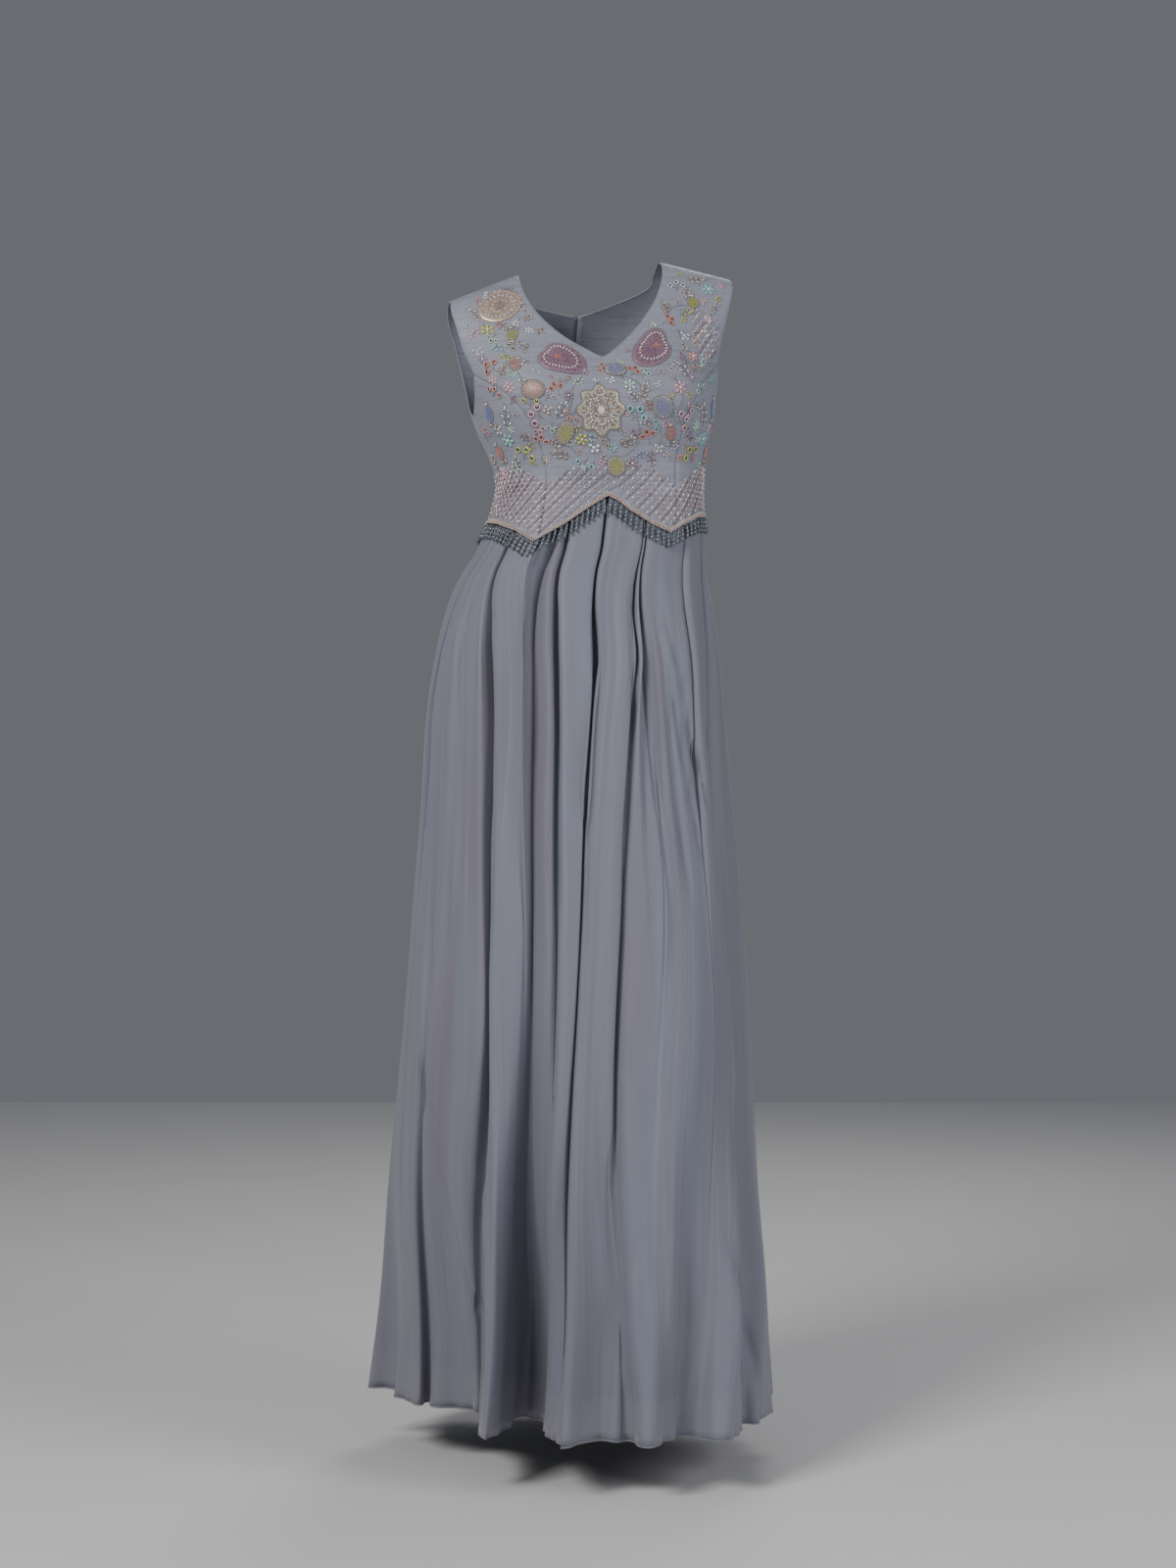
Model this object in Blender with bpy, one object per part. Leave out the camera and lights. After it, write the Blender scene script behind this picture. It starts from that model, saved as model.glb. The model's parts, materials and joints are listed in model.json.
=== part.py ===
"""An anarkali gown in its worn shape: a pointed beaded bodice over a full pleated skirt.

Metres, +Z up. The front centre faces -Y, turned a little towards +X. The origin lies
midway between the two shoulders, where the wearer holds the gown up. Left and right in
the names are the wearer's, so the wearer's right is at -X.
"""
import math
from collections import namedtuple

import bmesh
import bpy
from mathutils import Vector

for item in list(bpy.data.objects):
    bpy.data.objects.remove(item, do_unlink=True)

# Cloth and gaps
BODICE_WALL = 0.0016
SKIRT_WALL = 0.0017
SEAM_GAP = 0.0003
SEAM_DEG = 0.1
RIDGE_LEVEL = 0.012
TUCK_UP = 0.008
TUCK_SHARE = 0.968
TUCK_START = 0.001
TUCK_END = 0.013
MITRE_LEAST = 0.45

# Shoulders, neck and armholes, measured across and up from the origin
UNDERARM_Z = -0.165
NECK_HALF = 0.090
NECK_RISE = 0.0135
SHOULDER_TIP = 0.180
SHOULDER_SLOPE = 0.335
RIGHT_SHOULDER_SLOPE = 0.270
RIGHT_SHOULDER_IN = 0.009
V_POINT_Z = -0.109
BACK_NECK_Z = -0.035
PRINCESS_TOP = (0.1520, -0.117)

# Bust shaped by the princess seams
BUST_OUT = 0.008
BUST_ACROSS = 0.084
BUST_Z = -0.152
BUST_WIDE = 0.042
BUST_TALL = 0.045

# Pointed bodice hem, round from the wearer's right side: degrees from the front and heights
HEM_LINE = [(-90, -0.3025), (-70, -0.3070), (-50, -0.3175), (-36, -0.3315), (-20, -0.3095),
            (-1.5, -0.2755), (7, -0.2937), (19, -0.3098), (30, -0.3180), (40, -0.3068),
            (56, -0.2960), (90, -0.2910), (113, -0.2990), (138, -0.3240), (158, -0.3050),
            (180, -0.2780), (202, -0.3050), (222, -0.3250), (247, -0.3090), (270, -0.3025)]
PRINCESS_DEG = 35

# Beaded cord and fringe along the bodice hem
CORD_TALL = 0.006
CORD_THICK = 0.002
FRINGE_STRANDS = 108
FRINGE_LONG = 0.021
FRINGE_THICK = 0.0022
FRINGE_OUT = ((0.009, 0.0016), (FRINGE_LONG, 0.0024))
TRIM_READS = 720
FRINGE_NARROW = 0.8

# Worn sections from the shoulder ridge down to the hem of the skirt
HEM_Z = -1.381
LEVEL_EXACT = 1e-8
Section = namedtuple("Section", "z centre_x half_width front back power turn roll")
SECTIONS = [
    Section(0.000, -0.004, 0.225, 0.000, 0.000, 2.4, 10, 6.9),
    Section(-0.003, -0.004, 0.223, 0.016, 0.018, 2.4, 10, 6.9),
    Section(-0.012, -0.004, 0.217, 0.031, 0.035, 2.4, 10, 6.8),
    Section(-0.030, -0.004, 0.207, 0.046, 0.053, 2.4, 10, 6.5),
    Section(-0.055, -0.004, 0.194, 0.062, 0.070, 2.4, 10, 6.0),
    Section(-0.085, -0.004, 0.180, 0.082, 0.083, 2.4, 10, 5.2),
    Section(-0.115, -0.002, 0.166, 0.103, 0.091, 2.4, 10, 4.3),
    Section(-0.150, 0.002, 0.153, 0.118, 0.094, 2.4, 10, 3.2),
    Section(-0.185, 0.006, 0.145, 0.113, 0.091, 2.4, 10, 2.2),
    Section(-0.220, 0.009, 0.133, 0.100, 0.087, 2.4, 10, 1.2),
    Section(-0.255, 0.012, 0.127, 0.094, 0.085, 2.4, 10, 0.4),
    Section(-0.295, 0.008, 0.132, 0.099, 0.090, 2.4, 11, 0.0),
    Section(-0.335, 0.001, 0.141, 0.106, 0.098, 2.3, 11, 0.0),
    Section(-0.370, -0.008, 0.154, 0.112, 0.108, 2.2, 9, 0.0),
    Section(-0.410, -0.012, 0.166, 0.119, 0.121, 2.1, 6, 0.0),
    Section(-0.470, -0.015, 0.177, 0.128, 0.138, 2.1, 4, 0.0),
    Section(-0.550, -0.017, 0.186, 0.138, 0.152, 2.0, 2, 0.0),
    Section(-0.650, -0.016, 0.193, 0.152, 0.167, 2.0, 0, 0.0),
    Section(-0.780, -0.016, 0.204, 0.172, 0.186, 2.0, 0, 0.0),
    Section(-0.930, -0.017, 0.215, 0.198, 0.208, 2.0, 0, 0.0),
    Section(-1.100, -0.020, 0.226, 0.226, 0.232, 2.0, 0, 0.0),
    Section(-1.250, -0.018, 0.238, 0.246, 0.250, 2.0, 0, 0.0),
    Section(HEM_Z, -0.024, 0.247, 0.262, 0.262, 2.0, 0, 0.0),
]

# Front fold lines of the skirt, from the wearer's right side round to the left side.
# Each cell is (degrees from the front centre, share of the section's radius).
FOLD_HEIGHTS = (-0.322, -0.490, -0.720, -0.970, HEM_Z)
Line = namedtuple("Line", "name waist hip thigh knee hem")
FRONT_LINES = [
    Line("right_side", (-92, 1.00), (-91, 1.00), (-91, 1.00), (-91, 1.00), (-105, 1.06)),
    Line("side_left", (-76, 1.00), (-78, 1.00), (-77, 1.00), (-80, 1.00), (-103, 0.92)),
    Line("side_valley", (-73, 0.87), (-75, 0.93), (-73, 0.98), (-71, 1.00), (-90, 0.84)),
    Line("side_lip", (-70, 1.00), (-71, 1.00), (-68, 0.98), (-62, 1.00), (-79, 0.77)),
    Line("slit", (-67, 1.00), (-64, 1.00), (-62, 0.97), (-59.5, 0.94), (-84, 0.72)),
    Line("slit_lip", (-63, 1.00), (-58, 1.00), (-56, 0.98), (-57, 0.98), (-76, 0.68)),
    Line("soft", (-60, 1.00), (-52, 0.99), (-50, 0.96), (-47, 0.94), (-69, 0.60)),
    Line("panel_a", (-58, 1.00), (-46, 1.00), (-42, 0.99), (-38, 0.97), (-61, 0.56)),
    Line("b_left", (-56, 1.00), (-42, 1.00), (-36, 0.99), (-33, 0.96), (-57, 0.55)),
    Line("b_valley", (-54, 0.86), (-39, 0.84), (-34, 0.84), (-31, 0.86), (-52, 0.54)),
    Line("b_lip", (-51, 1.00), (-34, 1.00), (-30, 1.00), (-27, 0.99), (-25, 0.95)),
    Line("panel_b", (-43, 1.00), (-27, 1.01), (-26, 0.99), (-24, 0.97), (-25, 0.76)),
    Line("small_valley", (-37, 1.00), (-22, 1.01), (-22, 0.93), (-21, 0.88), (-29, 0.57)),
    Line("deep_valley", (-32, 1.00), (-20, 1.00), (-18, 0.97), (-18, 0.80), (-29, 0.45)),
    Line("c_valley", (-29, 0.88), (-17, 0.87), (-15, 0.86), (-15, 0.80), (-20, 0.46)),
    Line("c_ridge", (-26, 1.00), (-13, 1.00), (-11, 0.98), (-10, 0.92), (-13, 0.52)),
    Line("c_groove", (-23.5, 0.86), (-9.5, 0.86), (-7, 0.90), (-7, 0.93), (-10, 0.66)),
    Line("c_lip", (-21, 1.00), (-7, 1.00), (-4, 1.00), (-5, 1.00), (-8, 0.78)),
    Line("panel_c", (-12, 1.00), (-2, 1.01), (-1, 0.99), (-2.5, 0.99), (-5, 0.83)),
    Line("d_left", (-5.5, 1.00), (2, 1.00), (1, 0.97), (-1.5, 0.97), (-4, 0.85)),
    Line("d_valley", (-3.5, 0.86), (4, 0.88), (2.5, 0.92), (-0.5, 0.94), (-3, 0.87)),
    Line("d_lip", (-1, 1.00), (6, 1.00), (4.5, 1.00), (1, 1.00), (-2, 1.04)),
    Line("panel_d", (6, 1.00), (12, 1.01), (9, 1.00), (6, 0.99), (9, 0.87)),
    Line("e_lip", (11, 1.00), (17, 1.00), (13.5, 1.01), (10.5, 1.00), (13, 0.95)),
    Line("e_valley", (13.5, 0.95), (20, 0.92), (17, 0.92), (13, 0.94), (16, 0.99)),
    Line("f_rib", (16, 0.99), (23, 0.99), (23, 0.99), (18, 1.02), (18, 1.05)),
    Line("f_valley", (19, 0.87), (27, 0.86), (31, 0.985), (25, 1.04), (20.5, 1.07)),
    Line("f_lip", (22, 1.00), (31, 1.00), (38, 1.00), (32, 1.05), (25, 1.02)),
    Line("panel_f", (31, 1.00), (38, 1.01), (44, 1.00), (39, 1.04), (31, 0.94)),
    Line("g_left", (40, 1.00), (45, 1.00), (48, 0.99), (44, 1.02), (34, 0.96)),
    Line("g_valley", (42.5, 0.88), (48, 0.90), (51, 0.975), (49, 1.01), (36, 1.02)),
    Line("g_lip", (45, 1.00), (51, 1.00), (54, 1.00), (54, 1.00), (38, 1.11)),
    Line("n_lip", (61, 1.00), (57, 1.00), (58, 1.00), (61, 1.00), (42, 1.16)),
    Line("n_valley", (65, 0.87), (62, 0.86), (62, 0.84), (64, 0.86), (50, 1.06)),
    Line("n_inner", (69, 1.00), (67, 0.97), (67, 0.93), (69, 0.93), (57, 1.00)),
    Line("left_lip", (77, 1.00), (77, 1.00), (78, 1.00), (79, 1.00), (64, 1.05)),
    Line("left_side", (90, 1.00), (90, 1.00), (90, 1.00), (91, 1.00), (88, 0.98)),
]

# Pleats of the back, each a groove between two lips that opens towards the hem
Pleat = namedtuple("Pleat", "waist_deg hem_deg waist_gap hem_gap waist_reach hem_reach lip_out")
BACK_PLEATS = [
    Pleat(104, 107, 2.4, 5.0, 0.87, 0.82, 1.00),
    Pleat(128, 131, 2.4, 8.0, 0.87, 0.70, 1.03),
    Pleat(152, 151, 2.4, 4.5, 0.86, 0.84, 0.98),
    Pleat(178, 176, 2.6, 9.0, 0.86, 0.68, 1.03),
    Pleat(203, 204, 2.4, 5.0, 0.87, 0.80, 0.99),
    Pleat(228, 226, 2.4, 8.0, 0.87, 0.72, 1.02),
    Pleat(252, 247, 2.4, 4.5, 0.88, 0.84, 1.00),
]

OPENING = (0.0, 0.12, 0.40, 0.70, 1.0)
PANEL_OUT = 0.012

# Skirt rows: depths below the bodice hem first, then shares of the rest
TOP_ROWS = (TUCK_UP, -TUCK_START, -TUCK_END, -0.030)
LOWER_ROWS = (0.035, 0.075, 0.12, 0.175, 0.24, 0.32, 0.41, 0.51, 0.62, 0.74, 0.87, 1.0)
WIDE_STEP = 0.014

# Thick beaded motifs laid on the bodice: across and up from the origin, half sizes, tilt.
# Their rings are shares of the outline, from the rim in, with shares of the thickness.
Motif = namedtuple("Motif", "name x z half_wide half_tall tilt outline")
MOTIF_LIFT = 0.0007
MOTIF_THICK = 0.0018
MOTIF_RINGS = ((1.0, 0.55), (0.72, 1.0), (0.0, 1.0))
OUTLINE_STEPS = {"flower": 32, "paisley": 20, "round": 20}
MOTIFS = [
    Motif("motif_lotus", -0.012, -0.174, 0.030, 0.031, 0, "flower"),
    Motif("motif_paisley_right", -0.056, -0.106, 0.036, 0.027, -33, "paisley"),
    Motif("motif_paisley_left", 0.068, -0.098, 0.036, 0.027, 208, "paisley"),
    Motif("motif_rosette_right", -0.118, -0.030, 0.027, 0.020, 12, "round"),
    Motif("motif_bud_right", -0.090, -0.146, 0.013, 0.012, 0, "round"),
    Motif("motif_bud_left", 0.064, -0.172, 0.013, 0.013, 0, "round"),
    Motif("motif_drop_right", -0.056, -0.200, 0.010, 0.014, -20, "round"),
    Motif("motif_drop_left", 0.012, -0.126, 0.013, 0.008, 0, "round"),
    Motif("motif_disc_centre", 0.004, -0.240, 0.011, 0.012, 0, "round"),
]

COLOURS = {
    "silk": (0.26, 0.28, 0.33, 1.0),
    "chiffon": (0.23, 0.25, 0.31, 1.0),
    "beads": (0.30, 0.24, 0.24, 1.0),
    "fringe": (0.07, 0.10, 0.13, 1.0),
}


def finish(name, colour, roughness, metallic):
    """One plain material with the finish of a sub-part."""
    material = bpy.data.materials.new(name)
    material.use_nodes = True
    shader = material.node_tree.nodes["Principled BSDF"]
    shader.inputs["Base Color"].default_value = COLOURS[colour]
    shader.inputs["Roughness"].default_value = roughness
    shader.inputs["Metallic"].default_value = metallic
    return material


def add_solid(name, points, faces, material):
    """Makes one closed solid with its faces pointing out."""
    mesh = bpy.data.meshes.new(name)
    mesh.from_pydata([tuple(point) for point in points], [], faces)
    work = bmesh.new()
    work.from_mesh(mesh)
    bmesh.ops.recalc_face_normals(work, faces=work.faces)
    work.to_mesh(mesh)
    work.free()
    mesh.shade_smooth()
    solid = bpy.data.objects.new(name, mesh)
    solid.data.materials.append(material)
    bpy.context.scene.collection.objects.link(solid)
    return solid


def halves(face, points):
    """The two triangles of a four-sided face, split along its shorter diagonal."""
    a, b, c, d = face
    if (points[c] - points[a]).length <= (points[d] - points[b]).length:
        return [(a, b, c), (a, c, d)]
    return [(a, b, d), (b, c, d)]


def thicken(outer, inner, faces):
    """Closes a sheet and its inner copy into a wall, with a rim along each open edge.

    Both skins split each face along the same diagonal, so they never cross.
    """
    count = len(outer)
    faces = [part for face in faces
             for part in (halves(face, outer) if len(face) == 4 else [face])]
    edges = {}
    for face in faces:
        for start, end in zip(face, face[1:] + face[:1]):
            edges[(start, end)] = True
    rim = [(end, start, start + count, end + count)
           for start, end in edges if (end, start) not in edges]
    back = [tuple(index + count for index in reversed(face)) for face in faces]
    return list(outer) + list(inner), faces + back + rim


def hermite(before, start, end, after, share):
    """Catmull-Rom curve between start and end."""
    square = share * share
    cube = square * share
    return (start * (2 * cube - 3 * square + 1) + end * (3 * square - 2 * cube)
            + (end - before) * 0.5 * (cube - 2 * square + share)
            + (after - start) * 0.5 * (cube - square))


def section_at(level):
    """The worn section at a fractional row of SECTIONS, smooth over the shoulder ridge."""
    low = min(int(level), len(SECTIONS) - 2)
    share = level - low
    rows = [SECTIONS[low], SECTIONS[low + 1]]
    after = SECTIONS[min(low + 2, len(SECTIONS) - 1)]
    if low > 0:
        before = SECTIONS[low - 1]
    else:
        ridge = SECTIONS[1]
        before = ridge._replace(front=-ridge.back, back=-ridge.front)
    return Section(*(hermite(b, s, e, a, share)
                     for b, s, e, a in zip(before, rows[0], rows[1], after)))


def level_at(z):
    """The fractional row of SECTIONS at a height."""
    low, high = 0.0, float(len(SECTIONS) - 1)
    while high - low > LEVEL_EXACT:
        middle = (low + high) / 2
        if section_at(middle).z > z:
            low = middle
        else:
            high = middle
    return (low + high) / 2


def flat_point(section, deg, reach=1.0):
    """Across and along, inside a section, before it is turned to its worn place."""
    sine = math.sin(math.radians(deg))
    cosine = math.cos(math.radians(deg))
    power = 2 / section.power
    depth = section.front if cosine > 0 else section.back
    across = section.half_width * reach * math.copysign(abs(sine) ** power, sine)
    along = -depth * reach * math.copysign(abs(cosine) ** power, cosine)
    return across, along


def worn(section, across, along, z):
    """Turns and rolls a point with the wearer's pose."""
    turn = math.radians(section.turn)
    return Vector((section.centre_x + across * math.cos(turn) - along * math.sin(turn),
                   across * math.sin(turn) + along * math.cos(turn),
                   z + across * math.tan(math.radians(section.roll))))


def ridge_z(across):
    """Height of the shoulder seam, level at the neck and sloping to the shoulder tip."""
    slope = RIGHT_SHOULDER_SLOPE if across < 0 else SHOULDER_SLOPE
    return NECK_RISE - slope * max(abs(across) - NECK_HALF, 0.0)


def stretch(across):
    """How much the part above the underarm is stretched to reach the shoulder seam."""
    return (ridge_z(across) - UNDERARM_Z) / -UNDERARM_Z


def bodice_point(deg, level):
    """A point of the bodice's outer face."""
    section = section_at(level)
    across, along = flat_point(section, deg)
    z = section.z
    if z > UNDERARM_Z:
        z = UNDERARM_Z + (z - UNDERARM_Z) * stretch(across)
    if along < 0:
        wide = (abs(across) - BUST_ACROSS) / BUST_WIDE
        tall = (z - BUST_Z) / BUST_TALL
        along -= BUST_OUT * math.exp(-wide * wide - tall * tall)
    if across < 0:
        rise = max(section.z - UNDERARM_Z, 0.0) / -UNDERARM_Z
        across += RIGHT_SHOULDER_IN * rise * (across / SHOULDER_TIP) ** 2
    return worn(section, across, along, z)


def bodice_normal(deg, level):
    """Outward direction of the bodice's outer face."""
    step, turn = 0.004, 0.4
    across = bodice_point(deg + turn, level) - bodice_point(deg - turn, level)
    down = bodice_point(deg, level + step) - bodice_point(deg, level - step)
    normal = across.cross(down)
    normal.normalize()
    return -normal


def on_bodice(across, z, back=False):
    """Degrees and section row of the bodice point at this place across and up."""
    if z > UNDERARM_Z:
        z = UNDERARM_Z + (z - UNDERARM_Z) / stretch(across)
    level = level_at(z)
    section = section_at(level)
    share = min(abs(across) / section.half_width, 1.0) ** (section.power / 2)
    deg = math.degrees(math.asin(share))
    if back:
        deg = 180 - deg
    return math.copysign(deg, across), level


def hem_z(deg):
    """Height of the pointed bodice hem at an angle round the waist."""
    deg = (deg - HEM_LINE[0][0]) % 360 + HEM_LINE[0][0]
    after = next(index for index in range(1, len(HEM_LINE)) if HEM_LINE[index][0] >= deg)
    (low_deg, low_z), (high_deg, high_z) = HEM_LINE[after - 1:after + 1]
    return lerp(low_z, high_z, (deg - low_deg) / (high_deg - low_deg))


def curve_value(table, place):
    """Smooth value from a short table of (place, value) rows."""
    index = 0
    while index < len(table) - 2 and place > table[index + 1][0]:
        index += 1
    start, end = table[index], table[index + 1]
    share = min(max((place - start[0]) / (end[0] - start[0]), 0.0), 1.0)
    before = table[max(index - 1, 0)]
    after = table[min(index + 2, len(table) - 1)]
    return hermite(before[1], start[1], end[1], after[1], share)


# Princess seam and armhole edge of the front: height, then place across
PRINCESS = [(-0.331, 0.083), (-0.245, 0.080), (-0.210, 0.086), (-0.178, 0.098), (-0.146, 0.120),
            (-0.128, 0.139), (PRINCESS_TOP[1], PRINCESS_TOP[0])]
FRONT_ARMHOLE = [(PRINCESS_TOP[1], PRINCESS_TOP[0]), (-0.081, 0.163), (-0.047, 0.172),
                 (-0.015, SHOULDER_TIP)]
BACK_ARMHOLE = [(UNDERARM_Z, 0.151), (-0.120, 0.150), (-0.080, 0.158), (-0.045, 0.168),
                (-0.015, SHOULDER_TIP)]
BODY_ROWS = 9
STRAP_ROWS = 6
FRONT_COLUMNS = 8
SIDE_COLUMNS = 7
BACK_COLUMNS = 12
ARMHOLE_EASE = 1.25
BACK_SEAM_ROWS = (-0.118, -0.078)
V_NECK_CURVE = 0.85
BACK_NECK_CURVE = 0.45
UNDERARM_DIP = 0.16


def shares(count):
    return [index / count for index in range(count + 1)]


def lerp(start, end, share):
    return start + (end - start) * share


def seam_path(bottom_deg, top, table, count):
    """Degrees and rows up a seam whose place across follows a table of heights."""
    path = []
    bottom_z = hem_z(bottom_deg)
    for share in shares(count):
        z = lerp(bottom_z, top, share)
        path.append(on_bodice(curve_value(table, z), z))
    return path


def seam_deg(across, section, back):
    """Degrees from the front centre of a place across a section."""
    deg = math.degrees(math.asin(min(across / section.half_width, 1.0) ** (section.power / 2)))
    return 180 - deg if back else deg


def strap_path(start_level, table, back):
    """Degrees and rows up an armhole edge to the shoulder seam, closer at its lower end."""
    path = []
    for share in shares(STRAP_ROWS)[1:]:
        level = max(start_level * (1 - share ** ARMHOLE_EASE), RIDGE_LEVEL)
        section = section_at(level)
        path.append((seam_deg(curve_value(table, section.z), section, back), level))
    return path


def neck_path(start_z, back, rows):
    """Degrees and rows up the neck edge, a curved V in front and a shallow round behind."""
    path = []
    start_level = on_bodice(0.0, start_z)[1]
    for share in shares(rows)[1:]:
        level = max(start_level * (1 - share), RIDGE_LEVEL)
        rise = section_at(level).z / section_at(start_level).z
        power = BACK_NECK_CURVE if back else V_NECK_CURVE
        across = NECK_HALF * math.sin(math.pi / 2 * (1 - rise) ** power)
        path.append((seam_deg(across, section_at(level), back), level))
    return path


def grid_between(inner, outer, columns):
    """Rows of (deg, level), evenly spaced from the inner path to the outer one."""
    return [[(lerp(a[0], b[0], share), lerp(a[1], b[1], share)) for share in shares(columns)]
            for a, b in zip(inner, outer)]


def hem_grid(grid):
    """Sets the lowest row on the pointed hem and spreads the rows above it."""
    grid = [list(row) for row in grid]
    top = BODY_ROWS
    for column in range(len(grid[0])):
        deg_top, level_top = grid[top][column]
        deg_low = grid[0][column][0]
        low = level_at(hem_z(deg_low))
        for row in range(top):
            deg, _ = grid[row][column]
            z = lerp(hem_z(deg_low), section_at(level_top).z, row / top)
            grid[row][column] = (deg, level_at(z) if row else low)
    return grid


def panel(name, grids, material, merged=0):
    """A bodice panel from one grid, or from two that share their first column low down."""
    keys = {}
    outer, inner, faces = [], [], []

    def index_of(side, row, column, deg, level):
        key = (0 if column == 0 and row <= merged else side, row, column)
        if key not in keys:
            keys[key] = len(outer)
            outside = bodice_point(deg, level)
            outer.append(outside)
            inner.append(outside - bodice_normal(deg, level) * BODICE_WALL)
        return keys[key]

    for side, grid in enumerate(grids):
        indices = [[index_of(side, row, column, *cell) for column, cell in enumerate(cells)]
                   for row, cells in enumerate(grid)]
        for low, high in zip(indices, indices[1:]):
            for a, b, c, d in zip(low, low[1:], high[1:], high):
                faces.append((a, b, c, d) if side == 0 else (d, c, b, a))
    points, faces = thicken(outer, inner, faces)
    return add_solid(name, points, faces, material)


def mirrored(grid):
    return [[(-deg, level) for deg, level in row] for row in grid]


def build_front(material):
    """Centre front with its two straps, down to the pointed hem."""
    seam = seam_path(PRINCESS_DEG, PRINCESS_TOP[1], PRINCESS, BODY_ROWS)
    outer = [(deg - SEAM_DEG, level) for deg, level in seam]
    outer += strap_path(outer[-1][1], FRONT_ARMHOLE, False)
    v_level = on_bodice(0.0, V_POINT_Z)[1]
    inner = [(0.0, v_level)] * (BODY_ROWS + 1) + neck_path(V_POINT_Z, False, STRAP_ROWS)
    grid = grid_between(inner, outer, FRONT_COLUMNS)
    halves = [hem_grid(grid), hem_grid(mirrored(grid))]
    return panel("bodice_front", halves, material, merged=BODY_ROWS)


def build_side_front(name, sign, material):
    """Side front between the princess seam and the side seam, up to the armhole."""
    seam = seam_path(PRINCESS_DEG, PRINCESS_TOP[1] - 2 * SEAM_GAP, PRINCESS, BODY_ROWS)
    inner = [(deg + SEAM_DEG, level) for deg, level in seam]
    side_level = level_at(UNDERARM_Z)
    outer = [(90 - SEAM_DEG, side_level)] * (BODY_ROWS + 1)
    grid = grid_between(inner, outer, SIDE_COLUMNS)
    for column, share in enumerate(shares(SIDE_COLUMNS)):
        dip = math.sin(share * math.pi) * UNDERARM_DIP
        deg, level = grid[BODY_ROWS][column]
        grid[BODY_ROWS][column] = (deg, level + dip)
    if sign < 0:
        grid = mirrored(grid)
    return panel(name, [hem_grid(grid)], material)


def build_back(name, sign, material):
    """Half of the back, from the closed centre back seam to the side seam and shoulder."""
    centre = [(180 - SEAM_DEG, on_bodice(0.0, z)[1]) for z in BACK_SEAM_ROWS + (BACK_NECK_Z,)]
    inner = [centre[0]] * BODY_ROWS + centre
    inner += neck_path(BACK_NECK_Z, True, STRAP_ROWS - len(BACK_SEAM_ROWS))
    underarm = level_at(UNDERARM_Z)
    outer = [(90 + SEAM_DEG, underarm)] * (BODY_ROWS + 1)
    outer += strap_path(underarm, BACK_ARMHOLE, True)
    grid = grid_between(inner, outer, BACK_COLUMNS)
    if sign < 0:
        grid = mirrored(grid)
    return panel(name, [hem_grid(grid)], material)


def back_lines():
    """Control lines of the back pleats: a lip, a valley, a lip and the middle of a panel."""
    cells = []
    for pleat in BACK_PLEATS:
        for side in (-1, 0, 1):
            row = []
            for open_share in OPENING:
                gap = lerp(pleat.waist_gap, pleat.hem_gap, open_share)
                reach = lerp(1.0, pleat.lip_out, open_share)
                if side == 0:
                    reach = lerp(pleat.waist_reach, pleat.hem_reach, open_share)
                row.append((lerp(pleat.waist_deg, pleat.hem_deg, open_share) + side * gap, reach))
            cells.append(row)
    last_side = [(cell[0] + 360, cell[1]) for cell in FRONT_LINES[0][1:]]
    lines = []
    for number, row in enumerate(cells):
        lines.append(Line("pleat", *row))
        if number % 3 == 2:
            following = cells[number + 1] if number + 1 < len(cells) else last_side
            middle = [((a[0] + b[0]) / 2, 1.0 + PANEL_OUT * share)
                      for a, b, share in zip(row, following, OPENING)]
            lines.append(Line("panel", *middle))
    return lines


LINES = FRONT_LINES + back_lines()


def line_at(line, z):
    """Degrees and reach of a fold line at a height."""
    table = [(-height, cell) for height, cell in zip(FOLD_HEIGHTS, line[1:])]
    place = min(max(-z, table[0][0]), table[-1][0])
    return tuple(curve_value([(at, cell[part]) for at, cell in table], place) for part in (0, 1))


def skirt_point(number, share, z, hem_line):
    """A point of the skirt's outer face, between fold lines number and number + 1."""
    section = section_at(level_at(z))
    corners = []
    for step in (-1, 0, 1, 2):
        deg, reach = line_at(LINES[(number + step) % len(LINES)], z)
        below = hem_line - z
        share_out = min(max((below - TUCK_START) / (TUCK_END - TUCK_START), 0.0), 1.0)
        tuck = lerp(TUCK_SHARE, 1.0, share_out)
        across, along = flat_point(section, deg, min(reach, 1.0) * tuck if tuck < 1 else reach)
        corners.append(worn(section, across, along, z))
    return hermite(*corners, share)


def skirt_columns():
    """Places of the mesh columns: each fold line, and steps between those far apart."""
    columns = []
    for number, line in enumerate(LINES):
        following = LINES[(number + 1) % len(LINES)]
        section = section_at(level_at(FOLD_HEIGHTS[2]))
        ends = [worn(section, *flat_point(section, *cell.thigh), 0) for cell in (line, following)]
        steps = min(max(round((ends[1] - ends[0]).length / WIDE_STEP), 1), 4)
        waist = [line.waist[0], following.waist[0]]
        if waist[1] < waist[0]:
            waist[1] += 360
        for step in range(steps):
            columns.append((number, step / steps, lerp(*waist, step / steps)))
    return columns


def inward(ring, index):
    """The inner point of a wall at one point of a closed level ring, with mitred bends."""
    point = ring[index]
    before = (point - ring[index - 1]).to_2d()
    after = (ring[(index + 1) % len(ring)] - point).to_2d()
    before.normalize()
    after.normalize()
    middle = before + after
    middle.normalize()
    normal = Vector((-middle.y, middle.x))
    mitre = 1.0 / max(abs(middle.dot(before)), MITRE_LEAST)
    offset = normal * SKIRT_WALL * mitre
    return point + Vector((offset.x, offset.y, 0.0))


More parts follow.
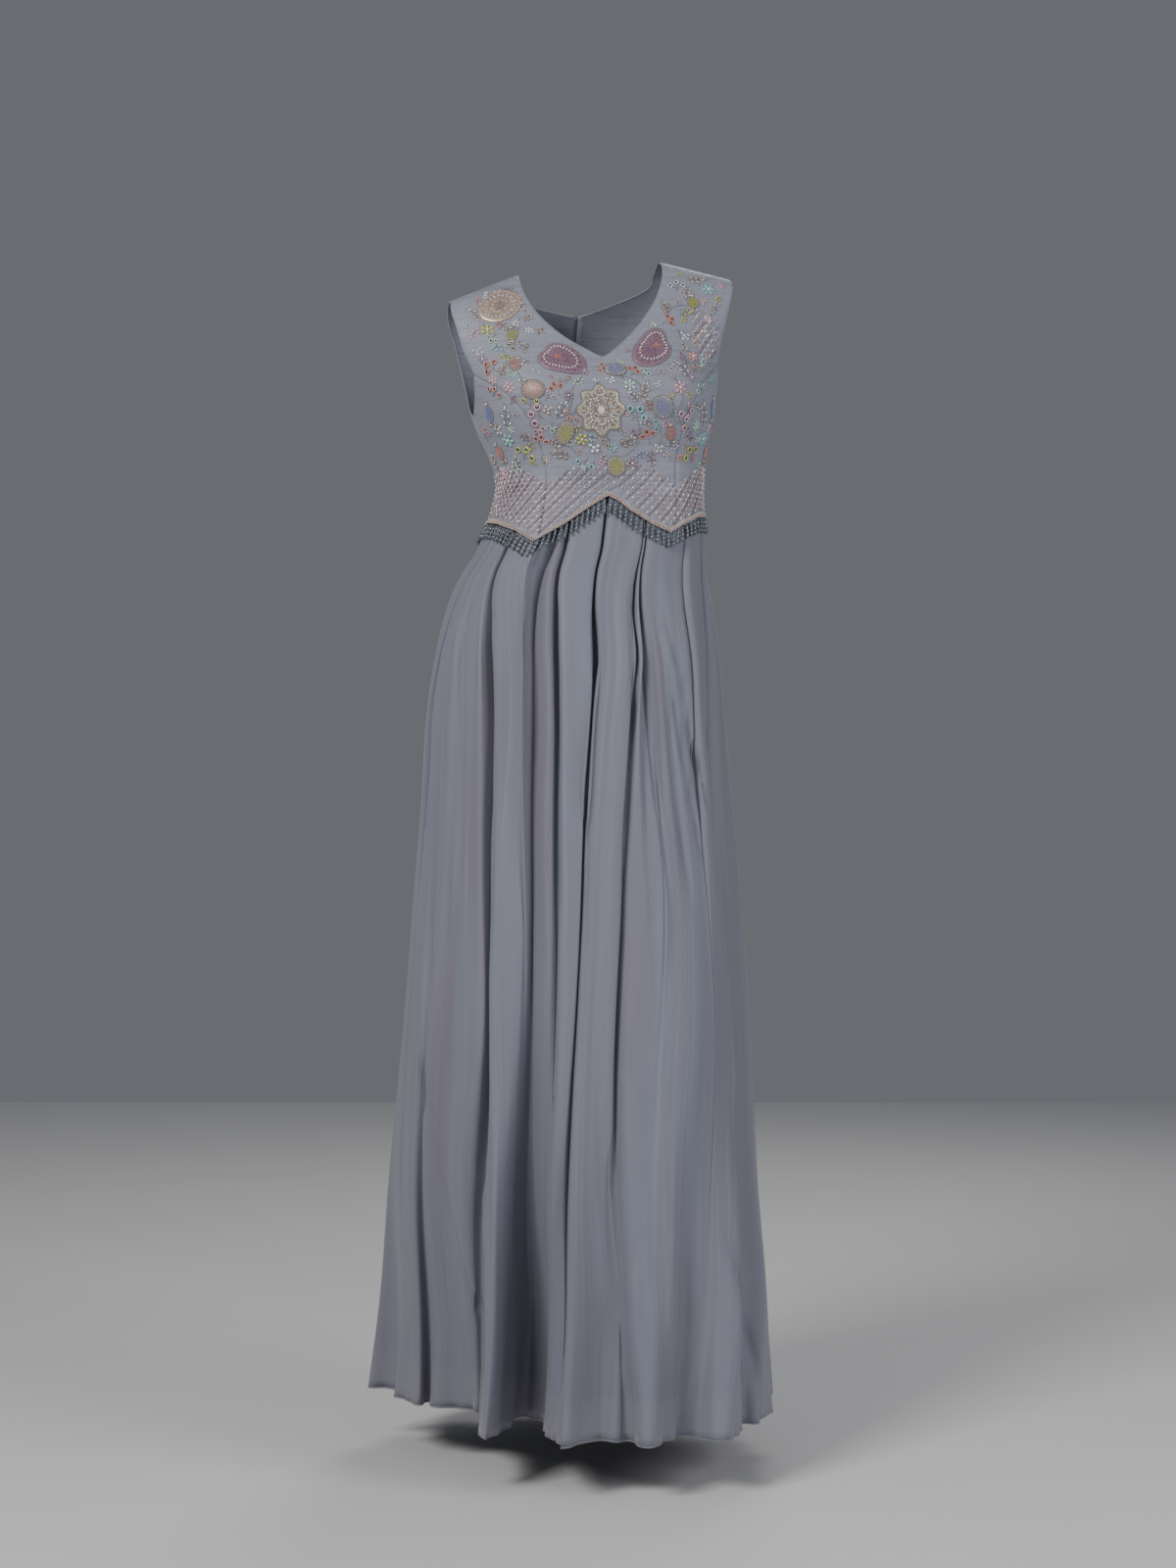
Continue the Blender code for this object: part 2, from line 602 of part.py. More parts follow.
def build_skirt(material):
    """Front and back lengths of the pleated skirt, with a gap at each side seam."""
    columns = skirt_columns()
    rows = []
    for drop in TOP_ROWS:
        rows.append([hem_z(deg) + drop for _, _, deg in columns])
    for share in LOWER_ROWS:
        rows.append([lerp(hem_z(deg) + TOP_ROWS[-1], HEM_Z, share) for _, _, deg in columns])
    outer = [[skirt_point(number, share, z, hem_z(deg))
              for (number, share, deg), z in zip(columns, row)] for row in rows]
    inner = [[inward(ring, index) for index in range(len(ring))] for ring in outer]
    split = next(index for index, column in enumerate(columns)
                 if column[0] == len(FRONT_LINES) - 1 and column[1] == 0)
    parts = {"skirt_front": range(0, split + 1), "skirt_back": range(split, len(columns) + 1)}
    for name, span in parts.items():
        points = [[], []]
        for layer, rings in enumerate((outer, inner)):
            for ring in rings:
                line = [ring[index % len(ring)].copy() for index in span]
                if name == "skirt_back":
                    for end, beside in ((0, 1), (-1, -2)):
                        step = (line[beside] - line[end]).normalized() * SEAM_GAP
                        line[end] += step
                points[layer] += line
        width = len(span)
        faces = [(row * width + col, row * width + col + 1,
                  (row + 1) * width + col + 1, (row + 1) * width + col)
                 for row in range(len(rows) - 1) for col in range(width - 1)]
        add_solid(name, *thicken(points[0], points[1], faces), material)


def trim_point(deg, z, out):
    """A point moved out from the worn section at a height."""
    section = section_at(level_at(z))
    turn = 0.5
    across, along = flat_point(section, deg)
    side = flat_point(section, deg + turn)
    back = flat_point(section, deg - turn)
    normal = Vector((-(side[1] - back[1]), side[0] - back[0])).normalized() * -out
    return worn(section, across + normal.x, along + normal.y, z)


def trim_stations(start, end, cells):
    """Degrees that part a stretch of the pointed hem into cells of equal length."""
    degs = [lerp(start, end, index / TRIM_READS) for index in range(TRIM_READS + 1)]
    places = [trim_point(deg, hem_z(deg), 0.0) for deg in degs]
    runs = [0.0]
    for first, second in zip(places, places[1:]):
        runs.append(runs[-1] + (second - first).length)
    stations = [start]
    after = 1
    for cell in range(1, cells):
        wanted = runs[-1] * cell / cells
        while runs[after] < wanted:
            after += 1
        share = (wanted - runs[after - 1]) / (runs[after] - runs[after - 1])
        stations.append(lerp(degs[after - 1], degs[after], share))
    return stations + [end]


def build_trim(name, start, end, strands, material):
    """Beaded cord along the pointed hem, with bead strands fused to its lower edge."""
    cells = 2 * strands + 1
    stations = trim_stations(start, end, cells)
    points, faces = [], []
    for deg in stations:
        low = hem_z(deg) + SEAM_GAP
        for z, out in ((low + CORD_TALL, SEAM_GAP), (low + CORD_TALL, SEAM_GAP + CORD_THICK),
                       (low, SEAM_GAP + CORD_THICK), (low, SEAM_GAP)):
            points.append(trim_point(deg, z, out))
    for cell in range(cells):
        at = 4 * cell
        after = at + 4
        for side in (0, 1, 3):
            following = (side + 1) % 4
            faces.append((at + side, at + following, after + following, after + side))
        low_edge = (at + 2, at + 3, after + 3, after + 2)
        if cell % 2 == 0:
            faces.append(low_edge)
            continue
        ring = low_edge
        for drop, out in FRINGE_OUT:
            fresh = []
            for corner, deg in zip((FRINGE_THICK, 0.0, 0.0, FRINGE_THICK),
                                   (stations[cell], stations[cell],
                                    stations[cell + 1], stations[cell + 1])):
                middle = (stations[cell] + stations[cell + 1]) / 2
                fresh.append(len(points))
                narrow = lerp(middle, deg, FRINGE_NARROW)
                points.append(trim_point(narrow, hem_z(middle) - drop, out + corner))
            for corner in range(4):
                following = (corner + 1) % 4
                faces.append((ring[corner], ring[following], fresh[following], fresh[corner]))
            ring = tuple(fresh)
        faces.append(ring)
    faces.append((0, 1, 2, 3))
    last = 4 * cells
    faces.append((last + 3, last + 2, last + 1, last))
    add_solid(name, points, faces, material)


def outline_radius(kind, angle):
    """Radius of a motif's outline, as a share of its half size."""
    if kind == "flower":
        return 0.90 + 0.10 * math.cos(8 * angle)
    if kind == "paisley":
        return 0.72 + 0.28 * math.cos(angle) ** 3 + 0.08 * math.sin(2 * angle)
    return 1.0


def build_motif(motif, material):
    """One thick patch of beadwork that follows the bodice's face."""
    turns = OUTLINE_STEPS[motif.outline]
    tilt = math.radians(motif.tilt)
    outside, inside = [], []
    for scale, height in MOTIF_RINGS:
        for turn in range(turns if scale else 1):
            angle = 2 * math.pi * turn / turns
            radius = outline_radius(motif.outline, angle) * scale
            wide = motif.half_wide * radius * math.cos(angle)
            tall = motif.half_tall * radius * math.sin(angle)
            across = motif.x + wide * math.cos(tilt) - tall * math.sin(tilt)
            z = motif.z + wide * math.sin(tilt) + tall * math.cos(tilt)
            place = on_bodice(across, z)
            base = bodice_point(*place)
            normal = bodice_normal(*place)
            outside.append(base + normal * (MOTIF_LIFT + MOTIF_THICK * height))
            inside.append(base + normal * MOTIF_LIFT)
    faces = []
    for turn in range(turns):
        following = (turn + 1) % turns
        faces.append((turn, following, turns + following, turns + turn))
        faces.append((turns + turn, turns + following, 2 * turns))
    add_solid(motif.name, *thicken(outside, inside, faces), material)


silk = finish("slub_silk", "silk", 0.55, 0.0)
chiffon = finish("pleated_chiffon", "chiffon", 0.75, 0.0)
beads = finish("bead_work", "beads", 0.30, 0.2)
fringe = finish("glass_fringe", "fringe", 0.15, 0.0)

build_front(silk)
for side_name, side_sign in (("right", -1), ("left", 1)):
    build_side_front("bodice_side_front_" + side_name, side_sign, silk)
    build_back("bodice_back_" + side_name, side_sign, silk)
build_skirt(chiffon)
build_trim("hem_trim_front", -90 + SEAM_DEG, 90 - SEAM_DEG, FRINGE_STRANDS // 2, fringe)
build_trim("hem_trim_back", 90 + SEAM_DEG, 270 - SEAM_DEG, FRINGE_STRANDS // 2, fringe)
for each in MOTIFS:
    build_motif(each, beads)
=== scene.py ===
# %% [markdown]
# # An anarkali gown, dressed in Blender
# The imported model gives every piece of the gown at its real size, as plain closed walls.
# This lesson keeps those places and sizes and makes the looks: thin cloth with soft folds,
# slubbed silk, beadwork, a beaded cord with its fringe, and a fine rolled hem.
# Left and right are the wearer's, so the wearer's right is at -X.

# %% Load the frame
import json
import math
from collections import namedtuple

import bpy
import numpy as np
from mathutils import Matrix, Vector

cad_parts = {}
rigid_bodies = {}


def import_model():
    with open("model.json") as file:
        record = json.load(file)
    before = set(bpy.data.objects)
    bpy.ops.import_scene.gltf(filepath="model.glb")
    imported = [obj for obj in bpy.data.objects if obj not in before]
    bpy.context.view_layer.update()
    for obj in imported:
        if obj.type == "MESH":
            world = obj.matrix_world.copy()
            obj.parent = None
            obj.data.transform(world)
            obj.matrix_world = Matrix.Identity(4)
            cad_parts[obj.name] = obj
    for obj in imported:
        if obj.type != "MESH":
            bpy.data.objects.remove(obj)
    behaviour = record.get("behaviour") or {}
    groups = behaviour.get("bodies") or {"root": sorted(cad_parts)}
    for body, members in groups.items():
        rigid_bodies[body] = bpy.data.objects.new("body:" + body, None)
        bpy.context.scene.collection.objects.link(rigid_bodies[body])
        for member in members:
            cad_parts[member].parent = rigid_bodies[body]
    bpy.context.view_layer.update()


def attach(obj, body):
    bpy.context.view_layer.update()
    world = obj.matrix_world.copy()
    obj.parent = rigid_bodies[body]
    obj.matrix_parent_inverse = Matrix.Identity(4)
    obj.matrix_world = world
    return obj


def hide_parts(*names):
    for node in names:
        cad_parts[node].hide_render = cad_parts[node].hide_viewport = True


for item in list(bpy.data.objects):
    bpy.data.objects.remove(item, do_unlink=True)
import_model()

# %% [markdown]
# ## Camera and light
# The camera stands 3.6 m in front of the gown, level, at the height of the skirt's upper part.
# A long lens keeps the hem from spreading. One large soft light stands high on the left,
# a weaker one fills the right side, and a thin one from behind lifts the edges of the folds.

# %% Camera, lights and floor
CAMERA_PLACE = (-0.0024, -3.63, -0.622)
LENS_MM = 67.5
SENSOR_MM = 36.0
FLOOR_Z = -1.448
Lamp = namedtuple("Lamp", "name place watts size colour")
LAMPS = [
    Lamp("key", (-1.7, -2.4, 1.20), 92, 1.1, (1.0, 0.985, 0.96)),
    Lamp("fill", (2.3, -1.7, 0.20), 38, 1.3, (0.97, 0.98, 1.0)),
    Lamp("rim", (0.6, 2.4, 1.20), 24, 1.2, (1.0, 1.0, 1.0)),
]
AIM = Vector((0.0, 0.0, -0.55))
WORLD_COLOUR = (0.72, 0.75, 0.82, 1)
WORLD_STRENGTH = 0.20


def in_scene(item):
    bpy.context.scene.collection.objects.link(item)
    return item


camera = in_scene(bpy.data.objects.new("camera", bpy.data.cameras.new("camera")))
camera.location = CAMERA_PLACE
camera.rotation_euler = (math.pi / 2, 0, 0)
camera.data.sensor_fit = "VERTICAL"
camera.data.sensor_height = SENSOR_MM
camera.data.lens = LENS_MM
bpy.context.scene.camera = camera
for lamp in LAMPS:
    light = bpy.data.lights.new(lamp.name, "AREA")
    light.energy = lamp.watts
    light.size = lamp.size
    light.color = lamp.colour
    stand = in_scene(bpy.data.objects.new(lamp.name, light))
    stand.location = lamp.place
    stand.rotation_euler = (AIM - Vector(lamp.place)).to_track_quat("-Z", "Y").to_euler()
world = bpy.data.worlds.new("studio")
world.use_nodes = True
background = world.node_tree.nodes["Background"].inputs
background["Color"].default_value = WORLD_COLOUR
background["Strength"].default_value = WORLD_STRENGTH
bpy.context.scene.world = world
print("lamps", [lamp.name for lamp in LAMPS])

# %% [markdown]
# ## Shader sums as plain Python
# A Blender material is a graph of nodes. This class wraps one output of such a node, so that
# `1 - mask` or `a * b + c` adds the Math nodes by itself. Colours are mixed, never added.

# %% A socket that Python can work with


class Wire:
    """One output in a material's node graph."""

    def __init__(self, tree, socket=None):
        self.tree = tree
        self.socket = socket

    def node(self, kind, inputs=None, output=0, **settings):
        """Adds one node: its settings first, then its sockets, and gives one output."""
        made = self.tree.nodes.new("ShaderNode" + kind)
        for name, value in settings.items():
            setattr(made, name, value)
        for key, value in (inputs or {}).items():
            self.feed(made.inputs[key], value)
        return Wire(self.tree, made.outputs[output])

    def feed(self, socket, value):
        """Links a wire to a socket, or sets the socket to a plain value."""
        if isinstance(value, Wire):
            self.tree.links.new(value.socket, socket)
        else:
            socket.default_value = value

    def math(self, operation, first, second):
        return self.node("Math", {0: first, 1: second}, operation=operation)

    def __add__(self, other):
        return self.math("ADD", self, other)

    def __sub__(self, other):
        return self.math("SUBTRACT", self, other)

    def __rsub__(self, other):
        return self.math("SUBTRACT", other, self)

    def __mul__(self, other):
        return self.math("MULTIPLY", self, other)

    def clamp(self):
        return self.node("Clamp", {0: self})

    def above(self, start, gain):
        """Nothing below a start, and rising to 1 above it."""
        return ((self - start) * gain).clamp()

    def mix(self, first, second):
        """A colour between two others, with this value as the share."""
        colours = {key: (*value, 1.0) if isinstance(value, tuple) else value
                   for key, value in ((6, first), (7, second))}
        return self.node("Mix", {0: self, **colours}, output=2, data_type="RGBA")

    def scaled(self, x, y, z):
        """This vector with each part multiplied, to stretch a pattern."""
        return self.node("VectorMath", {0: self, 1: (x, y, z)}, operation="MULTIPLY")

    def noise(self, detail, roughness):
        """Values from 0 to 1 that wander with this vector."""
        return self.node("TexNoise", {"Vector": self, "Scale": 1.0, "Detail": detail,
                                      "Roughness": roughness})


def connect(wire, shader, **sockets):
    """Feeds a shader's sockets from wires or plain values."""
    for key, value in sockets.items():
        wire.feed(shader.inputs[key.replace("_", " ")], value)


def material(name, **constants):
    """A new material: its shader's plain values are set here, its graph starts empty."""
    made = bpy.data.materials.new(name)
    made.use_nodes = True
    wire, shader = Wire(made.node_tree), made.node_tree.nodes["Principled BSDF"]
    connect(wire, shader, **constants)
    return made, wire, shader


def relief(wire, height, strength, distance):
    """A Bump node's normal from a height, with its depth in metres."""
    return wire.node("Bump", {"Height": height, "Strength": strength, "Distance": distance})


# %% [markdown]
# ## Chiffon
# Chiffon is a sheer plain weave over a lining. Two layers slide over each other, so its grey
# drifts between blue and mauve in long bands that run down the cloth. Fine streaks in its relief
# get painted light: painted highlight on their crests and painted shade in their troughs. The mesh
# carries the place in the cloth as an attribute: metres round, metres down and how near the hem it
# is.

# %% Chiffon material
CHIFFON_BLUE = (0.178, 0.190, 0.248)
CHIFFON_MAUVE = (0.176, 0.166, 0.208)
CHIFFON_HEM = (0.200, 0.196, 0.238)
CHIFFON_PAINTED_CREST_LIGHT = (0.250, 0.262, 0.325)
CHIFFON_PAINTED_TROUGH_SHADE = (0.120, 0.112, 0.145)
CHIFFON_YARN = (0.28, 0.29, 0.34)
BAND_WIDE = 0.034
BAND_LONG = 0.9
STREAK_WIDE = 0.015
STREAK_LONG = 0.50
STREAK_GAIN = 6.0
CRINKLES_PER_M = (260, 55, 0)
YARN = 0.0006
chiffon, wire, shader = material("pleated_chiffon_look", Roughness=0.60, Sheen_Weight=0.22,
                                 Sheen_Roughness=0.45, Specular_IOR_Level=0.30)
cloth = wire.node("Attribute", output=1, attribute_name="cloth")
drift = cloth.scaled(1 / BAND_WIDE, 1 / BAND_LONG, 0).noise(2.0, 0.5).above(0.40, 4.5)
streaks = cloth.scaled(1 / STREAK_WIDE, 1 / STREAK_LONG, 0).noise(3.0, 0.58)
# Painted light: where the streak relief rises the colour is painted paler (painted highlight), and
# where it sinks it is painted darker (painted shade).
pale = streaks.above(0.55, STREAK_GAIN)
deep = ((0.44 - streaks) * STREAK_GAIN).clamp()
near_hem = cloth.node("SeparateXYZ", {0: cloth}, output=2)
colour = drift.mix(CHIFFON_BLUE, CHIFFON_MAUVE)
colour = (deep * 0.38).mix((pale * 0.42).mix(colour, CHIFFON_PAINTED_CREST_LIGHT), CHIFFON_PAINTED_TROUGH_SHADE)
colour = (near_hem * 0.8).mix(colour, CHIFFON_HEM)
yarn = cloth.scaled(1 / YARN, 1 / YARN, 0).noise(1.0, 0.6)
crinkle = cloth.scaled(*CRINKLES_PER_M).noise(2.0, 0.6)
height = streaks * 1.3 + crinkle * 0.3 + yarn * 0.14
connect(wire, shader, Base_Color=(yarn * 0.16).clamp().mix(colour, CHIFFON_YARN),
        Normal=relief(wire, height, 1.0, 0.001), Roughness=crinkle * 0.12 + 0.54)
print("material", chiffon.name)

# %% [markdown]
# ## Slubbed silk
# Raw silk has a weft of uneven yarn: fine, broken lines run across the bodice, a little
# lighter or darker than the ground, and catch the light. They follow the height on the body.

# %% Silk material
SILK = (0.236, 0.246, 0.305)
SILK_SLUB = (0.400, 0.405, 0.455)
SILK_DARK = (0.150, 0.152, 0.200)
SLUBS_PER_M = (55, 55, 1500)
BROAD_PER_M = (12, 12, 210)
GRAINS_PER_M = (1700, 1700, 1700)
silk, wire, shader = material("slub_silk_look", Roughness=0.46, Sheen_Weight=0.15,
                              Specular_IOR_Level=0.45)
place = wire.node("TexCoord", output=3)
slub = place.scaled(*SLUBS_PER_M).noise(3.0, 0.65)
broad = place.scaled(*BROAD_PER_M).noise(2.0, 0.5)
fine = place.scaled(*GRAINS_PER_M).noise(1.0, 0.5)
light_slub = slub.above(0.54, 6.0)
ground = (broad.above(0.53, 4.5) * 0.60).mix(SILK, SILK_DARK)
connect(wire, shader, Base_Color=(light_slub * 0.70).mix(ground, SILK_SLUB),
        Roughness=0.52 - light_slub * 0.14,
        Normal=relief(wire, slub + fine * 0.35 + broad * 0.4, 0.45, 0.0006))
print("material", silk.name)

# %% [markdown]
# ## The worn form
# The same short tables as in the solids give the form: sections of the body of the gown, from
# the ridge of the shoulders down to the hem. Each is a rounded oval with its own middle, turn
# and roll, and a smooth curve runs through them. Here they are read at thousands of places at
# once, with numpy, so the cloth can be far finer than the solids.

# %% Sections
HEM_Z = -1.381
UNDERARM_Z = -0.165
RIDGE_LEVEL = 0.012


def rows_of(kind, rows):
    """A table's rows, with the names of its columns."""
    return [kind(*row) for row in rows]


Section = namedtuple("Section", "z centre_x half_width front back power turn roll")
SECTIONS = rows_of(Section, [
    (0.000, -0.004, 0.225, 0.000, 0.000, 2.4, 10, 6.9),
    (-0.003, -0.004, 0.223, 0.016, 0.018, 2.4, 10, 6.9),
    (-0.012, -0.004, 0.217, 0.031, 0.035, 2.4, 10, 6.8),
    (-0.030, -0.004, 0.207, 0.046, 0.053, 2.4, 10, 6.5),
    (-0.055, -0.004, 0.194, 0.062, 0.070, 2.4, 10, 6.0),
    (-0.085, -0.004, 0.180, 0.082, 0.083, 2.4, 10, 5.2),
    (-0.115, -0.002, 0.166, 0.103, 0.091, 2.4, 10, 4.3),
    (-0.150, 0.002, 0.153, 0.118, 0.094, 2.4, 10, 3.2),
    (-0.185, 0.006, 0.145, 0.113, 0.091, 2.4, 10, 2.2),
    (-0.220, 0.009, 0.133, 0.100, 0.087, 2.4, 10, 1.2),
    (-0.255, 0.012, 0.127, 0.094, 0.085, 2.4, 10, 0.4),
    (-0.295, 0.008, 0.132, 0.099, 0.090, 2.4, 11, 0.0),
    (-0.335, 0.001, 0.141, 0.106, 0.098, 2.3, 11, 0.0),
    (-0.370, -0.008, 0.154, 0.112, 0.108, 2.2, 9, 0.0),
    (-0.410, -0.012, 0.166, 0.119, 0.121, 2.1, 6, 0.0),
    (-0.470, -0.015, 0.177, 0.128, 0.138, 2.1, 4, 0.0),
    (-0.550, -0.017, 0.186, 0.138, 0.152, 2.0, 2, 0.0),
    (-0.650, -0.016, 0.193, 0.152, 0.167, 2.0, 0, 0.0),
    (-0.780, -0.016, 0.204, 0.172, 0.186, 2.0, 0, 0.0),
    (-0.930, -0.017, 0.215, 0.198, 0.208, 2.0, 0, 0.0),
    (-1.100, -0.020, 0.226, 0.226, 0.232, 2.0, 0, 0.0),
    (-1.250, -0.018, 0.238, 0.246, 0.250, 2.0, 0, 0.0),
    (HEM_Z, -0.024, 0.247, 0.262, 0.262, 2.0, 0, 0.0),
])
OVER_RIDGE = SECTIONS[1]._replace(front=-SECTIONS[1].back, back=-SECTIONS[1].front)
SECTION_ROWS = np.array([OVER_RIDGE] + SECTIONS)


def lerp(start, end, share):
    return start + (end - start) * share


def shares(count):
    return np.arange(count + 1) / count


def hermite(before, start, end, after, share):
    """Catmull-Rom curve between start and end."""
    square = share * share
    cube = square * share
    return (start * (2 * cube - 3 * square + 1) + end * (3 * square - 2 * cube)
            + (end - before) * 0.5 * (cube - 2 * square + share)
            + (after - start) * 0.5 * (cube - square))


def curve(places, values, at):
    """Smooth values of a short table, read at an array of places."""
    places, values = np.asarray(places, float), np.asarray(values, float)
    at = np.clip(at, places[0], places[-1])
    low = np.clip(np.searchsorted(places, at, side="right") - 1, 0, len(places) - 2)
    share = (at - places[low]) / (places[low + 1] - places[low])
    return hermite(values[np.maximum(low - 1, 0)], values[low], values[low + 1],
                   values[np.minimum(low + 2, len(places) - 1)], share)


def section_at(level):
    """The worn section at fractional rows of SECTIONS."""
    level = np.clip(level, 0, len(SECTIONS) - 1 - 1e-9)
    low = np.asarray(level).astype(int)
    rows = [SECTION_ROWS[np.minimum(low + step, len(SECTIONS))] for step in range(4)]
    return Section(*np.moveaxis(hermite(*rows, (level - low)[..., None]), -1, 0))


LEVELS = np.linspace(0, len(SECTIONS) - 1, 8001)
DEPTHS = -section_at(LEVELS).z


def level_at(z):
    """The fractional row of SECTIONS at a height."""
    return np.interp(-np.asarray(z, float), DEPTHS, LEVELS)


def flat_place(section, deg, reach=1.0):
    """Across and along, inside a section, before it is turned to its worn place."""
    sine, cosine = np.sin(np.radians(deg)), np.cos(np.radians(deg))
    power = 2 / section.power
    depth = np.where(cosine > 0, section.front, section.back)
    across = section.half_width * reach * np.sign(sine) * np.abs(sine) ** power
    along = -depth * reach * np.sign(cosine) * np.abs(cosine) ** power
    return across, along


def worn(section, across, along, z):
    """Turns and rolls places with the wearer's pose."""
    turn = np.radians(section.turn)
    return np.stack([section.centre_x + across * np.cos(turn) - along * np.sin(turn),
                     across * np.sin(turn) + along * np.cos(turn),
                     z + across * np.tan(np.radians(section.roll))], axis=-1)


print("sections", len(SECTIONS), "from", SECTIONS[0].z, "to", SECTIONS[-1].z)

# %% [markdown]
# ## From grids of points to cloth
# A sheet of cloth starts as a grid of points. These helpers find which way it faces, number
# its faces, make the mesh object, and run a round cord along a path.

# %% Mesh helpers
CLOTH_THICK = 0.0009
UPRIGHT = 1e-3


def unit(vectors):
    """Vectors of length one, each with its direction kept."""
    return vectors / np.linalg.norm(vectors, axis=-1, keepdims=True)


def round_normals(grid):
    """Outward unit normals of a grid that closes round the body and whose rows run down."""
    across = np.roll(grid, -1, axis=1) - np.roll(grid, 1, axis=1)
    return unit(np.cross(np.gradient(grid, axis=0), across))


def grid_faces(rows, columns):
    """Corner numbers of a grid's faces, wound to look outwards."""
    corner = np.arange(rows * columns).reshape(rows, columns)
    return np.stack([corner[:-1, :-1], corner[1:, :-1], corner[1:, 1:], corner[:-1, 1:]],
                    axis=-1).reshape(-1, 4)


def strips(corner, beside):
    """Faces between the rows of two grids of corner numbers that lie side by side."""
    return np.stack([corner[:-1], beside[:-1], beside[1:], corner[1:]], axis=-1).reshape(-1, 4)


def pipe_faces(rings, sides):
    """Faces of a pipe of rings, with a flat face at each end."""
    corner = np.arange(rings * sides).reshape(rings, sides)
    ends = [corner[0][::-1].tolist(), corner[-1].tolist()]
    return strips(corner, np.roll(corner, -1, axis=1)).tolist() + ends


def add_piece(name, points, faces, finish, **attributes):
    """Makes one mesh object, with its finish and any vertex attributes, and rides it."""
    mesh = bpy.data.meshes.new(name)
    mesh.from_pydata(points.tolist(), [], [list(face) for face in faces])
    mesh.shade_smooth()
    for key, values in attributes.items():
        kind, field = "FLOAT_VECTOR", "vector"
        if key == "tint":
            kind, field = "FLOAT_COLOR", "color"
            values = np.hstack([values, np.ones((len(points), 1))])
        layer = mesh.attributes.new(key, kind, "POINT")
        layer.data.foreach_set(field, values.ravel())
    item = in_scene(bpy.data.objects.new(name, mesh))
    mesh.materials.append(finish)
    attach(item, "root")
    return item


def tube(path, radius, sides):
    """Points and faces of a round cord along a path, with flat ends."""
    ahead = unit(np.gradient(path, axis=0))
    side = np.cross(ahead, (0.0, 0.0, 1.0))
    upright = np.linalg.norm(side, axis=1) < UPRIGHT
    side[upright] = np.cross(ahead[upright], (0.0, 1.0, 0.0))
    side = unit(side)
    up = np.cross(side, ahead)
    turn = 2 * np.pi * np.arange(sides)[:, None] / sides
    ring = side[:, None] * np.cos(turn) + up[:, None] * np.sin(turn)
    return (path[:, None] + ring * radius).reshape(-1, 3), pipe_faces(len(path), sides)


print("cloth is", CLOTH_THICK * 1000, "mm thick")

# %% [markdown]
# ## The pointed hem of the bodice
# The bodice ends in points over the front, the sides and the back. Its edge runs nearly
# straight between them. The skirt is sewn in under this line, and the cord and fringe hang
# from it.

# %% Pointed hem line
HEM_LINE = [(-90, -0.3025), (-70, -0.3070), (-50, -0.3175), (-36, -0.3315), (-20, -0.3095),
            (-1.5, -0.2755), (7, -0.2937), (19, -0.3098), (30, -0.3180), (40, -0.3068),
            (56, -0.2960), (90, -0.2910), (113, -0.2990), (138, -0.3240), (158, -0.3050),
            (180, -0.2780), (202, -0.3050), (222, -0.3250), (247, -0.3090), (270, -0.3025)]
HEM_DEGS, HEM_HEIGHTS = np.transpose(HEM_LINE)


def hem_z(deg):
    """Height of the pointed hem at an angle round the waist."""
    return np.interp((np.asarray(deg, float) + 90) % 360 - 90, HEM_DEGS, HEM_HEIGHTS)


print("hem from", HEM_HEIGHTS.min(), "to", HEM_HEIGHTS.max())

# %% [markdown]
# ## Folds of the skirt
# Each row of this table is one line down the front: the lip of a pleat, its valley, or the
# middle of a smooth panel. It has an angle and a share of the section's radius at five
# heights. Curves through neighbouring lines make the round of the cloth between them.

